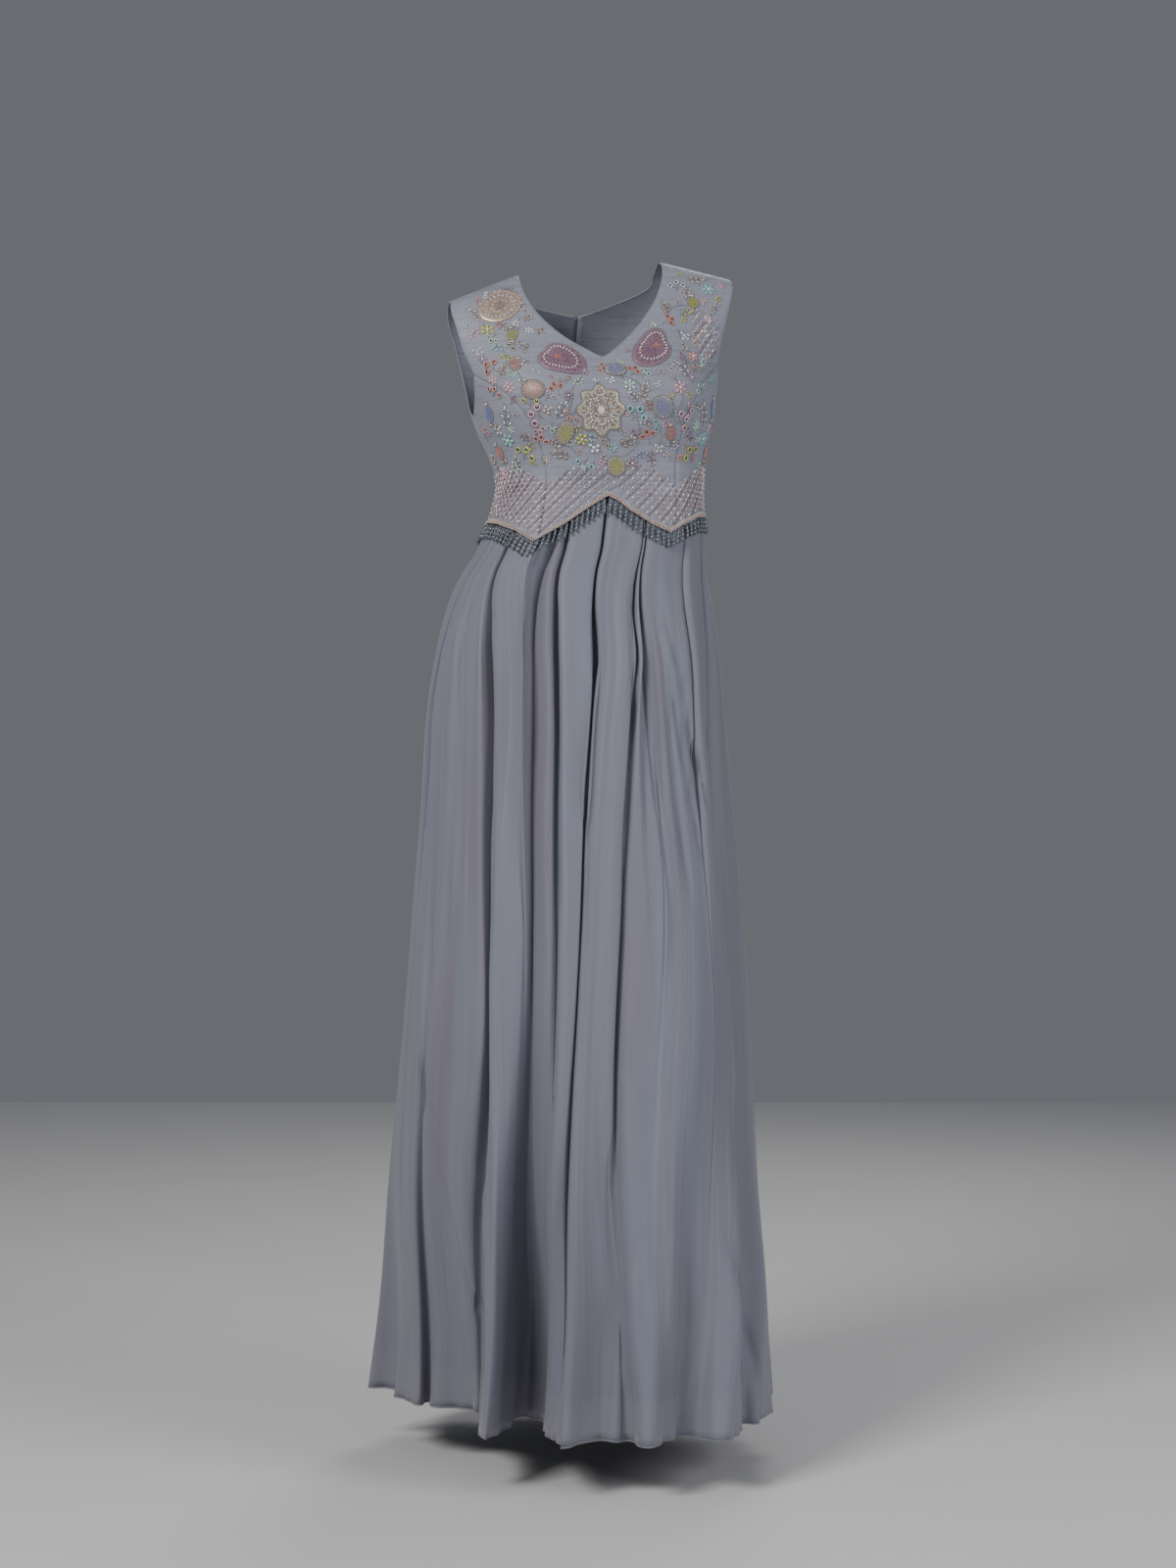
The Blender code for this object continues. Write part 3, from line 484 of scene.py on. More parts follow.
# %% Fold lines
FOLD_HEIGHTS = (-0.322, -0.490, -0.720, -0.970, HEM_Z)
Line = namedtuple("Line", "name waist hip thigh knee hem")
FRONT_LINES = rows_of(Line, [
    ("right_side", (-92, 1.00), (-91, 1.00), (-91, 1.00), (-91, 1.00), (-105, 1.06)),
    ("side_left", (-76, 1.00), (-78, 1.00), (-77, 1.00), (-80, 1.00), (-103, 0.92)),
    ("side_valley", (-73, 0.87), (-75, 0.93), (-73, 0.98), (-71, 1.00), (-90, 0.84)),
    ("side_lip", (-70, 1.00), (-71, 1.00), (-68, 0.98), (-62, 1.00), (-79, 0.77)),
    ("slit", (-67, 1.00), (-64, 1.00), (-62, 0.97), (-59.5, 0.94), (-84, 0.72)),
    ("slit_lip", (-63, 1.00), (-58, 1.00), (-56, 0.98), (-57, 0.98), (-76, 0.68)),
    ("soft", (-60, 1.00), (-52, 0.99), (-50, 0.96), (-47, 0.94), (-69, 0.60)),
    ("panel_a", (-58, 1.00), (-46, 1.00), (-42, 0.99), (-38, 0.97), (-61, 0.56)),
    ("b_left", (-56, 1.00), (-42, 1.00), (-36, 0.99), (-33, 0.96), (-57, 0.55)),
    ("b_valley", (-54, 0.86), (-39, 0.84), (-34, 0.84), (-31, 0.86), (-52, 0.54)),
    ("b_lip", (-51, 1.00), (-34, 1.00), (-30, 1.00), (-27, 0.99), (-25, 0.95)),
    ("panel_b", (-43, 1.00), (-27, 1.01), (-26, 0.99), (-24, 0.97), (-25, 0.76)),
    ("small_valley", (-37, 1.00), (-22, 1.01), (-22, 0.93), (-21, 0.88), (-29, 0.57)),
    ("deep_valley", (-32, 1.00), (-20, 1.00), (-18, 0.97), (-18, 0.80), (-29, 0.45)),
    ("c_valley", (-25.5, 0.88), (-17, 0.87), (-15, 0.86), (-15, 0.80), (-20, 0.46)),
    ("c_ridge", (-22, 1.00), (-13, 1.00), (-11, 0.98), (-10, 0.92), (-13, 0.52)),
    ("c_groove", (-18, 0.86), (-9.5, 0.86), (-7, 0.90), (-7, 0.93), (-10, 0.66)),
    ("c_lip", (-15, 1.00), (-7, 1.00), (-4, 1.00), (-5, 1.00), (-8, 0.78)),
    ("panel_c", (-10, 1.00), (-2, 1.01), (-1, 0.99), (-2.5, 0.99), (-5, 0.83)),
    ("d_left", (-4.5, 1.00), (2, 1.00), (1, 0.97), (-1.5, 0.97), (-4, 0.85)),
    ("d_valley", (-2.0, 0.86), (4, 0.88), (2.5, 0.92), (-0.5, 0.94), (-3, 0.87)),
    ("d_lip", (0.5, 1.00), (6, 1.00), (4.5, 1.00), (1, 1.00), (-2, 1.04)),
    ("panel_d", (6, 1.00), (12, 1.01), (9, 1.00), (6, 0.99), (9, 0.87)),
    ("e_lip", (11, 1.00), (17, 1.00), (13.5, 1.01), (10.5, 1.00), (13, 0.95)),
    ("e_valley", (13.5, 0.95), (20, 0.92), (17, 0.92), (13, 0.94), (16, 0.99)),
    ("f_rib", (16, 0.99), (23, 0.99), (23, 0.99), (18, 1.02), (18, 1.05)),
    ("f_valley", (19, 0.87), (27, 0.86), (31, 0.985), (25, 1.04), (20.5, 1.07)),
    ("f_lip", (22, 1.00), (31, 1.00), (38, 1.00), (32, 1.05), (25, 1.02)),
    ("panel_f", (31, 1.00), (38, 1.01), (44, 1.00), (39, 1.04), (31, 0.94)),
    ("g_left", (40, 1.00), (45, 1.00), (48, 0.99), (44, 1.02), (34, 0.96)),
    ("g_valley", (42.5, 0.88), (48, 0.90), (51, 0.975), (49, 1.01), (36, 1.02)),
    ("g_lip", (45, 1.00), (51, 1.00), (54, 1.00), (54, 1.00), (38, 1.11)),
    ("n_lip", (61, 1.00), (57, 1.00), (58, 1.00), (61, 1.00), (42, 1.16)),
    ("n_valley", (65, 0.87), (62, 0.86), (62, 0.84), (64, 0.86), (50, 1.06)),
    ("n_inner", (69, 1.00), (67, 0.97), (67, 0.93), (69, 0.93), (57, 1.00)),
    ("left_lip", (77, 1.00), (77, 1.00), (78, 1.00), (79, 1.00), (64, 1.05)),
    ("left_side", (90, 1.00), (90, 1.00), (90, 1.00), (91, 1.00), (88, 0.98)),
])
Pleat = namedtuple("Pleat", "waist_deg hem_deg waist_gap hem_gap waist_reach hem_reach lip_out")
BACK_PLEATS = rows_of(Pleat, [
    (104, 107, 2.4, 5.0, 0.87, 0.82, 1.00),
    (128, 131, 2.4, 8.0, 0.87, 0.70, 1.03),
    (152, 151, 2.4, 4.5, 0.86, 0.84, 0.98),
    (178, 176, 2.6, 9.0, 0.86, 0.68, 1.03),
    (203, 204, 2.4, 5.0, 0.87, 0.80, 0.99),
    (228, 226, 2.4, 8.0, 0.87, 0.72, 1.02),
    (252, 247, 2.4, 4.5, 0.88, 0.84, 1.00),
])
OPENING = np.array([0.0, 0.12, 0.40, 0.70, 1.0])
PANEL_OUT = 0.012


def pleat_lines(pleat):
    """The lip, valley and second lip of one back pleat, at the five heights."""
    middle = lerp(pleat.waist_deg, pleat.hem_deg, OPENING)
    gap = lerp(pleat.waist_gap, pleat.hem_gap, OPENING)
    lip = lerp(1.0, pleat.lip_out, OPENING)
    valley = lerp(pleat.waist_reach, pleat.hem_reach, OPENING)
    return [np.stack([middle + side * gap, valley if side == 0 else lip], axis=-1)
            for side in (-1, 0, 1)]


front_folds = [np.array(line[1:]) for line in FRONT_LINES]
closing = front_folds[0] + (360, 0)
back_pleats = [pleat_lines(pleat) for pleat in BACK_PLEATS]
back_folds = []
for pleat, following in zip(back_pleats, back_pleats[1:] + [[closing]]):
    middle = (pleat[2][:, 0] + following[0][:, 0]) / 2
    back_folds += pleat + [np.stack([middle, 1.0 + PANEL_OUT * OPENING], axis=-1)]
FOLDS = np.array(front_folds + back_folds)
FOLD_READS = 1201
READ_HEIGHTS = np.linspace(FOLD_HEIGHTS[0], HEM_Z, FOLD_READS)
FOLD_DENSE = np.stack([[curve([-z for z in FOLD_HEIGHTS], fold[:, part], -READ_HEIGHTS)
                        for part in (0, 1)] for fold in FOLDS])
print("fold lines", len(FOLDS))

# %% [markdown]
# ## The skirt's cloth
# The skirt is built line by line: a column of points for each fold line, with more between.
# Its top is tucked in under the bodice. Below the hip the folds open. Over this come the
# small creases: long soft troughs and ridges that are listed one by one, each with its own
# length, depth and width.

# %% Skirt grid
TUCK_UP = 0.008
TUCK_SHARE = 0.968
TUCK_START = 0.001
TUCK_END = 0.013
COLUMN_STEP = 0.0038
LEAST_STEPS = 3
MOST_STEPS = 18
LONG_ROWS = 104
ROW_SPREAD = 1.05
TOP_DROPS = (TUCK_UP, 0.003, -TUCK_START, -0.005, -0.009, -TUCK_END, -0.018, -0.024)
SHARP_NAMES = ("valley", "groove")
SHARP_STEPS = 7
SHARP_FOLDS = [number for number, line in enumerate(FRONT_LINES)
               if any(word in line.name for word in SHARP_NAMES)]
SHARP_FOLDS += [len(FRONT_LINES) + 4 * pleat + 1 for pleat in range(len(BACK_PLEATS))]


def read_fold(number, z):
    """Degrees and reach of fold lines at heights."""
    place = np.clip((z - FOLD_HEIGHTS[0]) / (HEM_Z - FOLD_HEIGHTS[0]), 0, 1) * (FOLD_READS - 1)
    low = np.minimum(place.astype(int), FOLD_READS - 2)
    share = place - low
    return [lerp(FOLD_DENSE[number, part, low], FOLD_DENSE[number, part, low + 1], share)
            for part in (0, 1)]


def skirt_columns():
    """Fold line, share towards the next and angle at the waist of each column."""
    columns = []
    section = section_at(level_at(FOLD_HEIGHTS[2]))
    for number, fold in enumerate(FOLDS):
        following = FOLDS[(number + 1) % len(FOLDS)]
        ends = [worn(section, *flat_place(section, *cell), 0) for cell in (fold[2], following[2])]
        steps = round(float(np.linalg.norm(ends[1] - ends[0])) / COLUMN_STEP)
        steps = min(max(steps, LEAST_STEPS), MOST_STEPS)
        if number in SHARP_FOLDS or number + 1 in SHARP_FOLDS:
            steps = max(steps, SHARP_STEPS)
        waist = [fold[0, 0], following[0, 0]]
        if waist[1] < waist[0]:
            waist[1] += 360
        columns += [(number, step / steps, lerp(*waist, step / steps)) for step in range(steps)]
    return np.array(columns)


def skirt_surface(columns, z):
    """Points of the skirt's outer face at heights z, a row for each row of z."""
    number = columns[:, 0].astype(int)
    below = hem_z(columns[:, 2]) - z
    tuck = lerp(TUCK_SHARE, 1.0, np.clip((below - TUCK_START) / (TUCK_END - TUCK_START), 0, 1))
    section = section_at(level_at(z))
    corners = []
    for step in (-1, 0, 1, 2):
        deg, reach = read_fold((number + step) % len(FOLDS), z)
        reach = np.where(tuck < 1, np.minimum(reach, 1.0) * tuck, reach)
        corners.append(worn(section, *flat_place(section, deg, reach), z))
    return hermite(*corners, columns[:, 1][:, None])


def first_column(number):
    """The column that runs along a fold line."""
    return int(np.flatnonzero((columns[:, 0] == number) & (columns[:, 1] == 0))[0])


columns = skirt_columns()
waist_line = hem_z(columns[:, 2])
top = waist_line + np.array(TOP_DROPS)[:, None]
low_shares = shares(LONG_ROWS)[1:] ** ROW_SPREAD
heights = np.vstack([top, lerp(top[-1], HEM_Z, low_shares[:, None])])
skirt = skirt_surface(columns, heights)
print("skirt grid", skirt.shape[:2])

# %% [markdown]
# ## Pleats pulled shut
# A pressed pleat is a thin dark line, not a wide trough. Beside each valley the cloth is drawn
# together and the valley's own line is pushed in. Below the fringe its wide floor is lifted a
# little. All of it fades towards the hem, where the pleats stand open.

# %% Thin pleat lines
SHUT_WIDE = 0.014
SHUT_SHARE = 0.85
GROOVE_WIDE = 0.0022
GROOVE_DEEP = 0.0028
VALLEY_RISE = [(-1.10, 0.0), (-0.80, 0.0030), (-0.52, 0.0060), (-0.38, 0.0), (-0.30, 0.0)]
RISE_WIDE = 0.008
SHUT_FADE = [(-1.40, 0.0), (-1.15, 0.30), (-0.95, 0.70), (-0.80, 0.95), (-0.30, 1.0)]
SHUT_REACH = 22

for number in SHARP_FOLDS:
    line = first_column(number)
    near = np.arange(line - SHUT_REACH, line + SHUT_REACH + 1) % len(columns)
    z = heights[:, near]
    section = section_at(level_at(heights[:, line]))
    valley = skirt[:, line]
    radial = unit(valley[:, :2] - np.stack([section.centre_x, 0 * section.centre_x], axis=-1))
    beside = np.stack([-radial[:, 1], radial[:, 0]], axis=-1)
    away = ((skirt[:, near, :2] - valley[:, None, :2]) * beside[:, None]).sum(axis=-1)
    fade = np.interp(z, *np.transpose(SHUT_FADE))
    pull = SHUT_SHARE * fade * away * np.exp(-(away / SHUT_WIDE) ** 2)
    dip = GROOVE_DEEP * fade * np.exp(-(away / GROOVE_WIDE) ** 2)
    dip -= np.interp(z, *np.transpose(VALLEY_RISE)) * np.exp(-(away / RISE_WIDE) ** 2)
    skirt[:, near, :2] -= pull[..., None] * beside[:, None] + dip[..., None] * radial[:, None]
print("pleat lines", len(SHARP_FOLDS))

# %% [markdown]
# ## Small creases
# A crease is soft: it fades in and out along its length and has a rounded trough or ridge.
# Each row gives its run down the cloth as three places, each a height and an angle.

# %% Creases
Crease = namedtuple("Crease", "start middle end wide deep")
FRONT_CREASES = rows_of(Crease, [
    ((-0.384, -67.4), (-0.492, -57.1), (-0.600, -56.0), 0.007, 0.0026),
    ((-0.640, -52.5), (-0.805, -45.3), (-0.990, -41.6), 0.010, 0.0034),
    ((-0.860, -63.5), (-1.089, -54.4), (-1.360, -46.0), 0.005, -0.0050),
    ((-0.360, -38.0), (-0.528, -27.5), (-0.720, -24.2), 0.009, -0.0022),
    ((-0.420, -31.0), (-0.640, -21.0), (-0.900, -19.5), 0.008, 0.0020),
    ((-0.400, -5.5), (-0.552, 0.2), (-0.690, 2.8), 0.011, -0.0036),
    ((-0.340, 4.1), (-0.411, 9.0), (-0.520, 11.4), 0.005, -0.0018),
    ((-0.380, 8.0), (-0.600, 7.5), (-0.860, 4.5), 0.012, -0.0020),
    ((-0.345, 18.0), (-0.550, 20.6), (-0.760, 17.0), 0.0032, -0.0052),
    ((-0.350, 23.5), (-0.552, 30.0), (-0.780, 32.5), 0.0032, -0.0054),
    ((-0.350, 25.5), (-0.549, 35.0), (-0.790, 43.0), 0.0034, -0.0056),
    ((-0.360, 27.0), (-0.560, 40.0), (-0.740, 51.5), 0.0032, -0.0050),
    ((-0.350, 21.0), (-0.600, 26.0), (-0.900, 26.5), 0.0034, -0.0046),
    ((-0.360, 29.0), (-0.540, 44.5), (-0.700, 57.0), 0.0034, -0.0046),
    ((-0.370, 24.5), (-0.560, 32.6), (-0.800, 37.5), 0.0040, 0.0030),
    ((-0.350, -47.0), (-0.560, -35.0), (-0.860, -29.5), 0.0034, -0.0040),
    ((-0.350, -61.0), (-0.560, -49.5), (-0.900, -45.0), 0.0036, -0.0044),
    ((-0.350, -15.5), (-0.560, -7.8), (-0.820, -6.4), 0.0034, -0.0036),
    ((-0.345, 1.0), (-0.560, 6.2), (-0.880, 3.4), 0.0036, -0.0036),
    ((-0.337, 38.0), (-0.480, 42.5), (-0.700, 52.5), 0.004, -0.0034),
    ((-0.330, 57.2), (-0.503, 54.6), (-0.670, 64.5), 0.004, -0.0034),
    ((-0.640, 31.5), (-0.738, 30.2), (-0.860, 28.8), 0.008, 0.0024),
    ((-1.060, -36.9), (-1.194, -34.6), (-1.330, -32.3), 0.007, 0.0034),
    ((-0.965, -6.6), (-1.151, -7.6), (-1.360, -8.3), 0.006, 0.0040),
    ((-1.002, 10.5), (-1.188, 11.3), (-1.375, 15.5), 0.009, -0.0085),
    ((-1.170, 17.4), (-1.255, 15.9), (-1.330, 14.6), 0.008, 0.0050),
    ((-0.960, 23.4), (-1.123, 23.1), (-1.260, 21.4), 0.013, -0.0042),
    ((-0.987, 29.8), (-1.147, 28.2), (-1.375, 29.4), 0.011, 0.0046),
    ((-1.165, 33.5), (-1.215, 33.0), (-1.270, 33.4), 0.014, -0.0038),
    ((-1.120, 49.0), (-1.248, 51.9), (-1.370, 57.0), 0.008, -0.0058),
    ((-0.940, 60.5), (-1.182, 57.5), (-1.375, 62.8), 0.005, -0.0052),
])
BACK_CREASES = rows_of(Crease, [
    ((-0.360, 97.0), (-0.520, 99.0), (-0.760, 98.0), 0.006, -0.0028),
    ((-0.400, 115.0), (-0.640, 113.5), (-0.960, 116.0), 0.009, 0.0032),
    ((-0.352, 121.0), (-0.480, 120.0), (-0.640, 119.0), 0.005, -0.0028),
    ((-0.930, 119.5), (-1.160, 118.0), (-1.370, 120.5), 0.009, -0.0066),
    ((-0.380, 138.5), (-0.560, 140.0), (-0.830, 141.5), 0.006, -0.0030),
    ((-0.700, 143.0), (-0.960, 141.0), (-1.240, 142.5), 0.011, 0.0038),
    ((-0.345, 163.0), (-0.500, 162.0), (-0.700, 163.5), 0.005, -0.0030),
    ((-1.040, 162.5), (-1.210, 164.0), (-1.375, 162.0), 0.008, -0.0062),
    ((-0.420, 189.5), (-0.660, 191.5), (-0.940, 190.0), 0.009, 0.0032),
    ((-0.350, 194.0), (-0.520, 195.5), (-0.740, 194.0), 0.005, -0.0028),
    ((-0.880, 191.0), (-1.120, 189.0), (-1.370, 191.5), 0.010, -0.0060),
    ((-0.380, 214.5), (-0.580, 216.0), (-0.820, 214.5), 0.006, -0.0030),
    ((-0.960, 215.5), (-1.170, 214.0), (-1.350, 215.0), 0.009, 0.0044),
    ((-0.360, 240.0), (-0.560, 241.0), (-0.780, 239.0), 0.006, -0.0030),
    ((-1.020, 238.0), (-1.200, 236.0), (-1.375, 238.0), 0.009, -0.0060),
    ((-0.420, 261.0), (-0.660, 262.5), (-0.980, 260.0), 0.008, -0.0034),
])
FADE_SHARE = 0.24
TO_THE_HEM = 0.04
WAVES = [(0.061, 0.0030, 0.4), (0.037, 0.0016, 1.9), (0.101, 0.0032, 3.1)]
WAVE_RISE = 0.16
EDGE_RIPPLE = (0.024, 0.0011)
EDGE_RISE = 0.030


def around(points, z):
    """Angle of points round their section's middle, and the section's mean radius."""
    section = section_at(level_at(z))
    x, y = points[..., 0] - section.centre_x, points[..., 1]
    turn = np.radians(-section.turn)
    across, along = x * np.cos(turn) - y * np.sin(turn), x * np.sin(turn) + y * np.cos(turn)
    depth = np.where(along < 0, section.front, section.back)
    deg = np.degrees(np.arctan2(across / section.half_width, -along / depth))
    return deg, (section.half_width + depth) / 2


def crease_depth(points, z, creases):
    """How far out the creases push each point."""
    deg, radius = around(points, z)
    push = np.zeros_like(deg)
    for crease in creases:
        spots = np.array([crease.start, crease.middle, crease.end])
        middle = curve(-spots[:, 0], spots[:, 1], -z)
        away = np.radians((deg - middle + 180) % 360 - 180) * radius
        along = np.clip((spots[0, 0] - z) / (spots[0, 0] - spots[-1, 0]), 0, 1)
        fade = np.clip(np.minimum(along, 1 - along) / FADE_SHARE, 0, 1)
        if spots[-1, 0] < HEM_Z + TO_THE_HEM:
            fade = np.clip(along / FADE_SHARE, 0, 1)
        fade = fade * fade * (3 - 2 * fade)
        push += crease.deep * fade * np.exp(-(away / crease.wide) ** 2)
    return push


def run_lengths(points, axis):
    """Distance run along a grid's rows or columns, from its first point."""
    steps = np.linalg.norm(np.diff(points, axis=axis), axis=-1)
    start = np.zeros_like(np.take(steps, [0], axis=axis))
    return np.cumsum(np.concatenate([start, steps], axis=axis), axis=axis)


def wave_push(run, z):
    """Soft waves that grow towards the hem, and a finer ripple at its very edge."""
    rise = np.clip(1 - (z - HEM_Z) / WAVE_RISE, 0, 1) ** 2
    edge = np.clip(1 - (z - HEM_Z) / EDGE_RISE, 0, 1) ** 2
    push = sum(deep * np.sin(2 * np.pi * run / length + shift) for length, deep, shift in WAVES)
    return push * rise + EDGE_RIPPLE[1] * edge * np.sin(2 * np.pi * run / EDGE_RIPPLE[0])


normals = round_normals(skirt)
run = run_lengths(skirt, 1)
hem_run = np.broadcast_to(run[-1], run.shape)
push = crease_depth(skirt, heights, FRONT_CREASES + BACK_CREASES) + wave_push(hem_run, heights)
level_normals = unit(normals * (1, 1, 0))
skirt = skirt + level_normals * push[..., None]
down = run_lengths(skirt, 0)
print("largest crease", round(float(np.abs(push).max()) * 1000, 1), "mm")

# %% [markdown]
# ## Sewing the skirt
# The skirt has a front and a back length, joined at the side seams, with a fine rolled hem.
# The cloth shell is closed with an inner side, so it looks right through the neck and hem.

# %% Skirt pieces
SEAM_GAP = 0.0003
HEM_ROLL = 0.0011
LINING_UP = 0.050
LINING_WAVE = 0.004
LINING_RADIANS_PER_M = 31
LINING_FADE = 0.006
ROLL_SIDES = 6


def shell(points, faces, thick):
    """Thin cloth from a sheet: an inner copy along its normals, and a rim at each edge."""
    corners = points[faces]
    facing = np.cross(corners[:, 2] - corners[:, 0], corners[:, 3] - corners[:, 1])
    normals = np.zeros_like(points)
    for corner in range(4):
        np.add.at(normals, faces[:, corner], facing)
    normals = unit(normals)
    count = len(points)
    starts, ends = faces.ravel(), np.roll(faces, -1, axis=1).ravel()
    lone = ~np.isin(starts * count + ends, ends * count + starts)
    starts, ends = starts[lone], ends[lone]
    rim = np.stack([ends, starts, starts + count, ends + count], axis=-1)
    return (np.concatenate([points, points - normals * thick]),
            np.concatenate([faces, faces[:, ::-1] + count, rim]))


split = first_column(len(FRONT_LINES) - 1)
spans = {"skirt_front": np.arange(split + 1),
         "skirt_back": np.append(np.arange(split, len(columns)), 0)}
skirt_pieces = {}
for name, span in spans.items():
    grid = skirt[:, span].copy()
    if name == "skirt_back":
        for end, beside in ((0, 1), (-1, -2)):
            step = grid[:, beside] - grid[:, end]
            grid[:, end] += unit(step) * SEAM_GAP
    low_run = run_lengths(grid, 1)[-1]
    lining_z = HEM_Z + LINING_UP + LINING_WAVE * np.sin(hem_run[:, span] * LINING_RADIANS_PER_M)
    lining = np.clip((lining_z - heights[:, span]) / LINING_FADE, 0, 1)
    cloth_place = np.stack([low_run + 0 * lining, down[:, span], lining], axis=-1).reshape(-1, 3)
    points, faces = shell(grid.reshape(-1, 3), grid_faces(*grid.shape[:2]), CLOTH_THICK)
    piece = add_piece(name + "_chiffon", points, faces, chiffon,
                      cloth=np.vstack([cloth_place, cloth_place]))
    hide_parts(name)
    roll = tube(grid[-1] - level_normals[-1, span] * CLOTH_THICK / 2, HEM_ROLL, ROLL_SIDES)
    hem_place = np.stack([low_run, down[-1, span], np.ones(len(span))], axis=-1)
    roll_piece = add_piece(name + "_rolled_hem", *roll, chiffon,
                           cloth=np.repeat(hem_place, ROLL_SIDES, axis=0))
    skirt_pieces[name] = (piece, roll_piece, grid)
    waist_run = run_lengths(grid[TOP_DROPS.index(-TUCK_END):], 1)[0]
    print(name, "waist", round(float(waist_run[-1]), 3), "m, hem", round(float(low_run[-1]), 3),
          "m, faces", len(faces))

# %% [markdown]
# ## The bodice on the form
# The bodice has a centre front, two side fronts and two half backs. Their edges are drawn on
# the worn form as places across and up, and the cloth between two edges is laid on the form.

# %% Places on the bodice
NECK_HALF = 0.090
NECK_RISE = 0.0135
SHOULDER_TIP = 0.180
SHOULDER_SLOPE = 0.335
RIGHT_SHOULDER_SLOPE = 0.270
RIGHT_SHOULDER_IN = 0.009
V_POINT_Z = -0.109
BACK_NECK_Z = -0.035
V_NECK_CURVE = 0.85
BACK_NECK_CURVE = 0.45
BUST_OUT = 0.008
BUST_ACROSS = 0.084
BUST_Z = -0.152
BUST_WIDE = 0.042
BUST_TALL = 0.045
FRAME_TURN = 0.3
FRAME_STEP = 0.003


def stretch(across):
    """How much the part above the underarm is stretched to reach the shoulder seam."""
    slope = np.where(np.asarray(across) < 0, RIGHT_SHOULDER_SLOPE, SHOULDER_SLOPE)
    ridge = NECK_RISE - slope * np.maximum(np.abs(across) - NECK_HALF, 0)
    return (ridge - UNDERARM_Z) / -UNDERARM_Z


def bodice_point(deg, level):
    """Points of the bodice's outer face."""
    section = section_at(level)
    across, along = flat_place(section, deg)
    above = np.maximum(section.z - UNDERARM_Z, 0)
    z = section.z + above * (stretch(across) - 1)
    bust = BUST_OUT * np.exp(-((np.abs(across) - BUST_ACROSS) / BUST_WIDE) ** 2
                             - ((z - BUST_Z) / BUST_TALL) ** 2)
    along = along - np.where(along < 0, bust, 0)
    shift = RIGHT_SHOULDER_IN * above / -UNDERARM_Z * (across / SHOULDER_TIP) ** 2
    return worn(section, across + np.where(across < 0, shift, 0), along, z)


def bodice_frame(deg, level):
    """Points of the bodice, and their directions to the left, up and out as rows."""
    left = bodice_point(deg + FRAME_TURN, level) - bodice_point(deg - FRAME_TURN, level)
    up = bodice_point(deg, level - FRAME_STEP) - bodice_point(deg, level + FRAME_STEP)
    left, out = unit(left), unit(np.cross(left, up))
    return bodice_point(deg, level), np.stack([left, np.cross(out, left), out], axis=-2)


def silk_level(across, z):
    """The section row of the bodice at places across and heights before the roll."""
    above = np.maximum(z - UNDERARM_Z, 0)
    return level_at(z - above + above / stretch(across))


def deg_of(across, section, back):
    """Degrees from the front centre of places across a section."""
    deg = np.degrees(np.arcsin(np.minimum(across / section.half_width, 1) ** (section.power / 2)))
    return 180 - deg if back else deg


def on_bodice(across, z, back=False):
    """Degrees and section row of the bodice at places across and up."""
    across, z = np.broadcast_arrays(np.asarray(across, float), np.asarray(z, float))
    level = silk_level(across, z)
    deg = deg_of(np.abs(across), section_at(level), back)
    return np.where(across < 0, -deg, deg), level


probe = bodice_point(*on_bodice(0.0, V_POINT_Z))
print("neck point at", np.round(probe, 3))

# %% [markdown]
# ## Edges of the panels
# Each edge runs from the pointed hem up to the underarm or bust, and on up to the shoulder
# seam. The princess seams shape the bust; the back has a closed seam down its centre.

# %% Panel edges
SEAM_DEG = 0.012
PRINCESS_DEG = 35
PRINCESS_TOP = (0.1520, -0.117)
PRINCESS = [(-0.331, 0.083), (-0.245, 0.080), (-0.210, 0.086), (-0.178, 0.098), (-0.146, 0.120),
            (-0.128, 0.139), (PRINCESS_TOP[1], PRINCESS_TOP[0])]
FRONT_ARMHOLE = [(PRINCESS_TOP[1], PRINCESS_TOP[0]), (-0.081, 0.163), (-0.047, 0.172),
                 (-0.015, SHOULDER_TIP)]
BACK_ARMHOLE = [(UNDERARM_Z, 0.151), (-0.120, 0.150), (-0.080, 0.158), (-0.045, 0.168),
                (-0.015, SHOULDER_TIP)]
BODY_ROWS = 9
STRAP_ROWS = 6
ARMHOLE_EASE = 1.25
BACK_SEAM_ROWS = (-0.118, -0.078)
UNDERARM_DIP = 0.16
ROW_PARTS = 7


def table_value(table, z):
    return curve([row[0] for row in table], [row[1] for row in table], z)


def seam_path(top, table):
    """Degrees and rows up a seam from the pointed hem."""
    z = lerp(hem_z(PRINCESS_DEG), top, shares(BODY_ROWS))
    return np.stack(on_bodice(table_value(table, z), z), axis=-1)


def strap_path(start_level, table, back):
    """Degrees and rows up an armhole edge to the shoulder seam."""
    level = np.maximum(start_level * (1 - shares(STRAP_ROWS)[1:] ** ARMHOLE_EASE), RIDGE_LEVEL)
    section = section_at(level)
    return np.stack([deg_of(table_value(table, section.z), section, back), level], axis=-1)


def neck_path(start_z, back, rows):
    """Degrees and rows up the neck edge, a curved V in front and a shallow round behind."""
    start_level = float(on_bodice(0.0, start_z)[1])
    level = np.maximum(start_level * (1 - shares(rows)[1:]), RIDGE_LEVEL)
    section = section_at(level)
    power = BACK_NECK_CURVE if back else V_NECK_CURVE
    rise = section.z / section_at(start_level).z
    across = NECK_HALF * np.sin(np.pi / 2 * (1 - rise) ** power)
    return np.stack([deg_of(across, section, back), level], axis=-1)


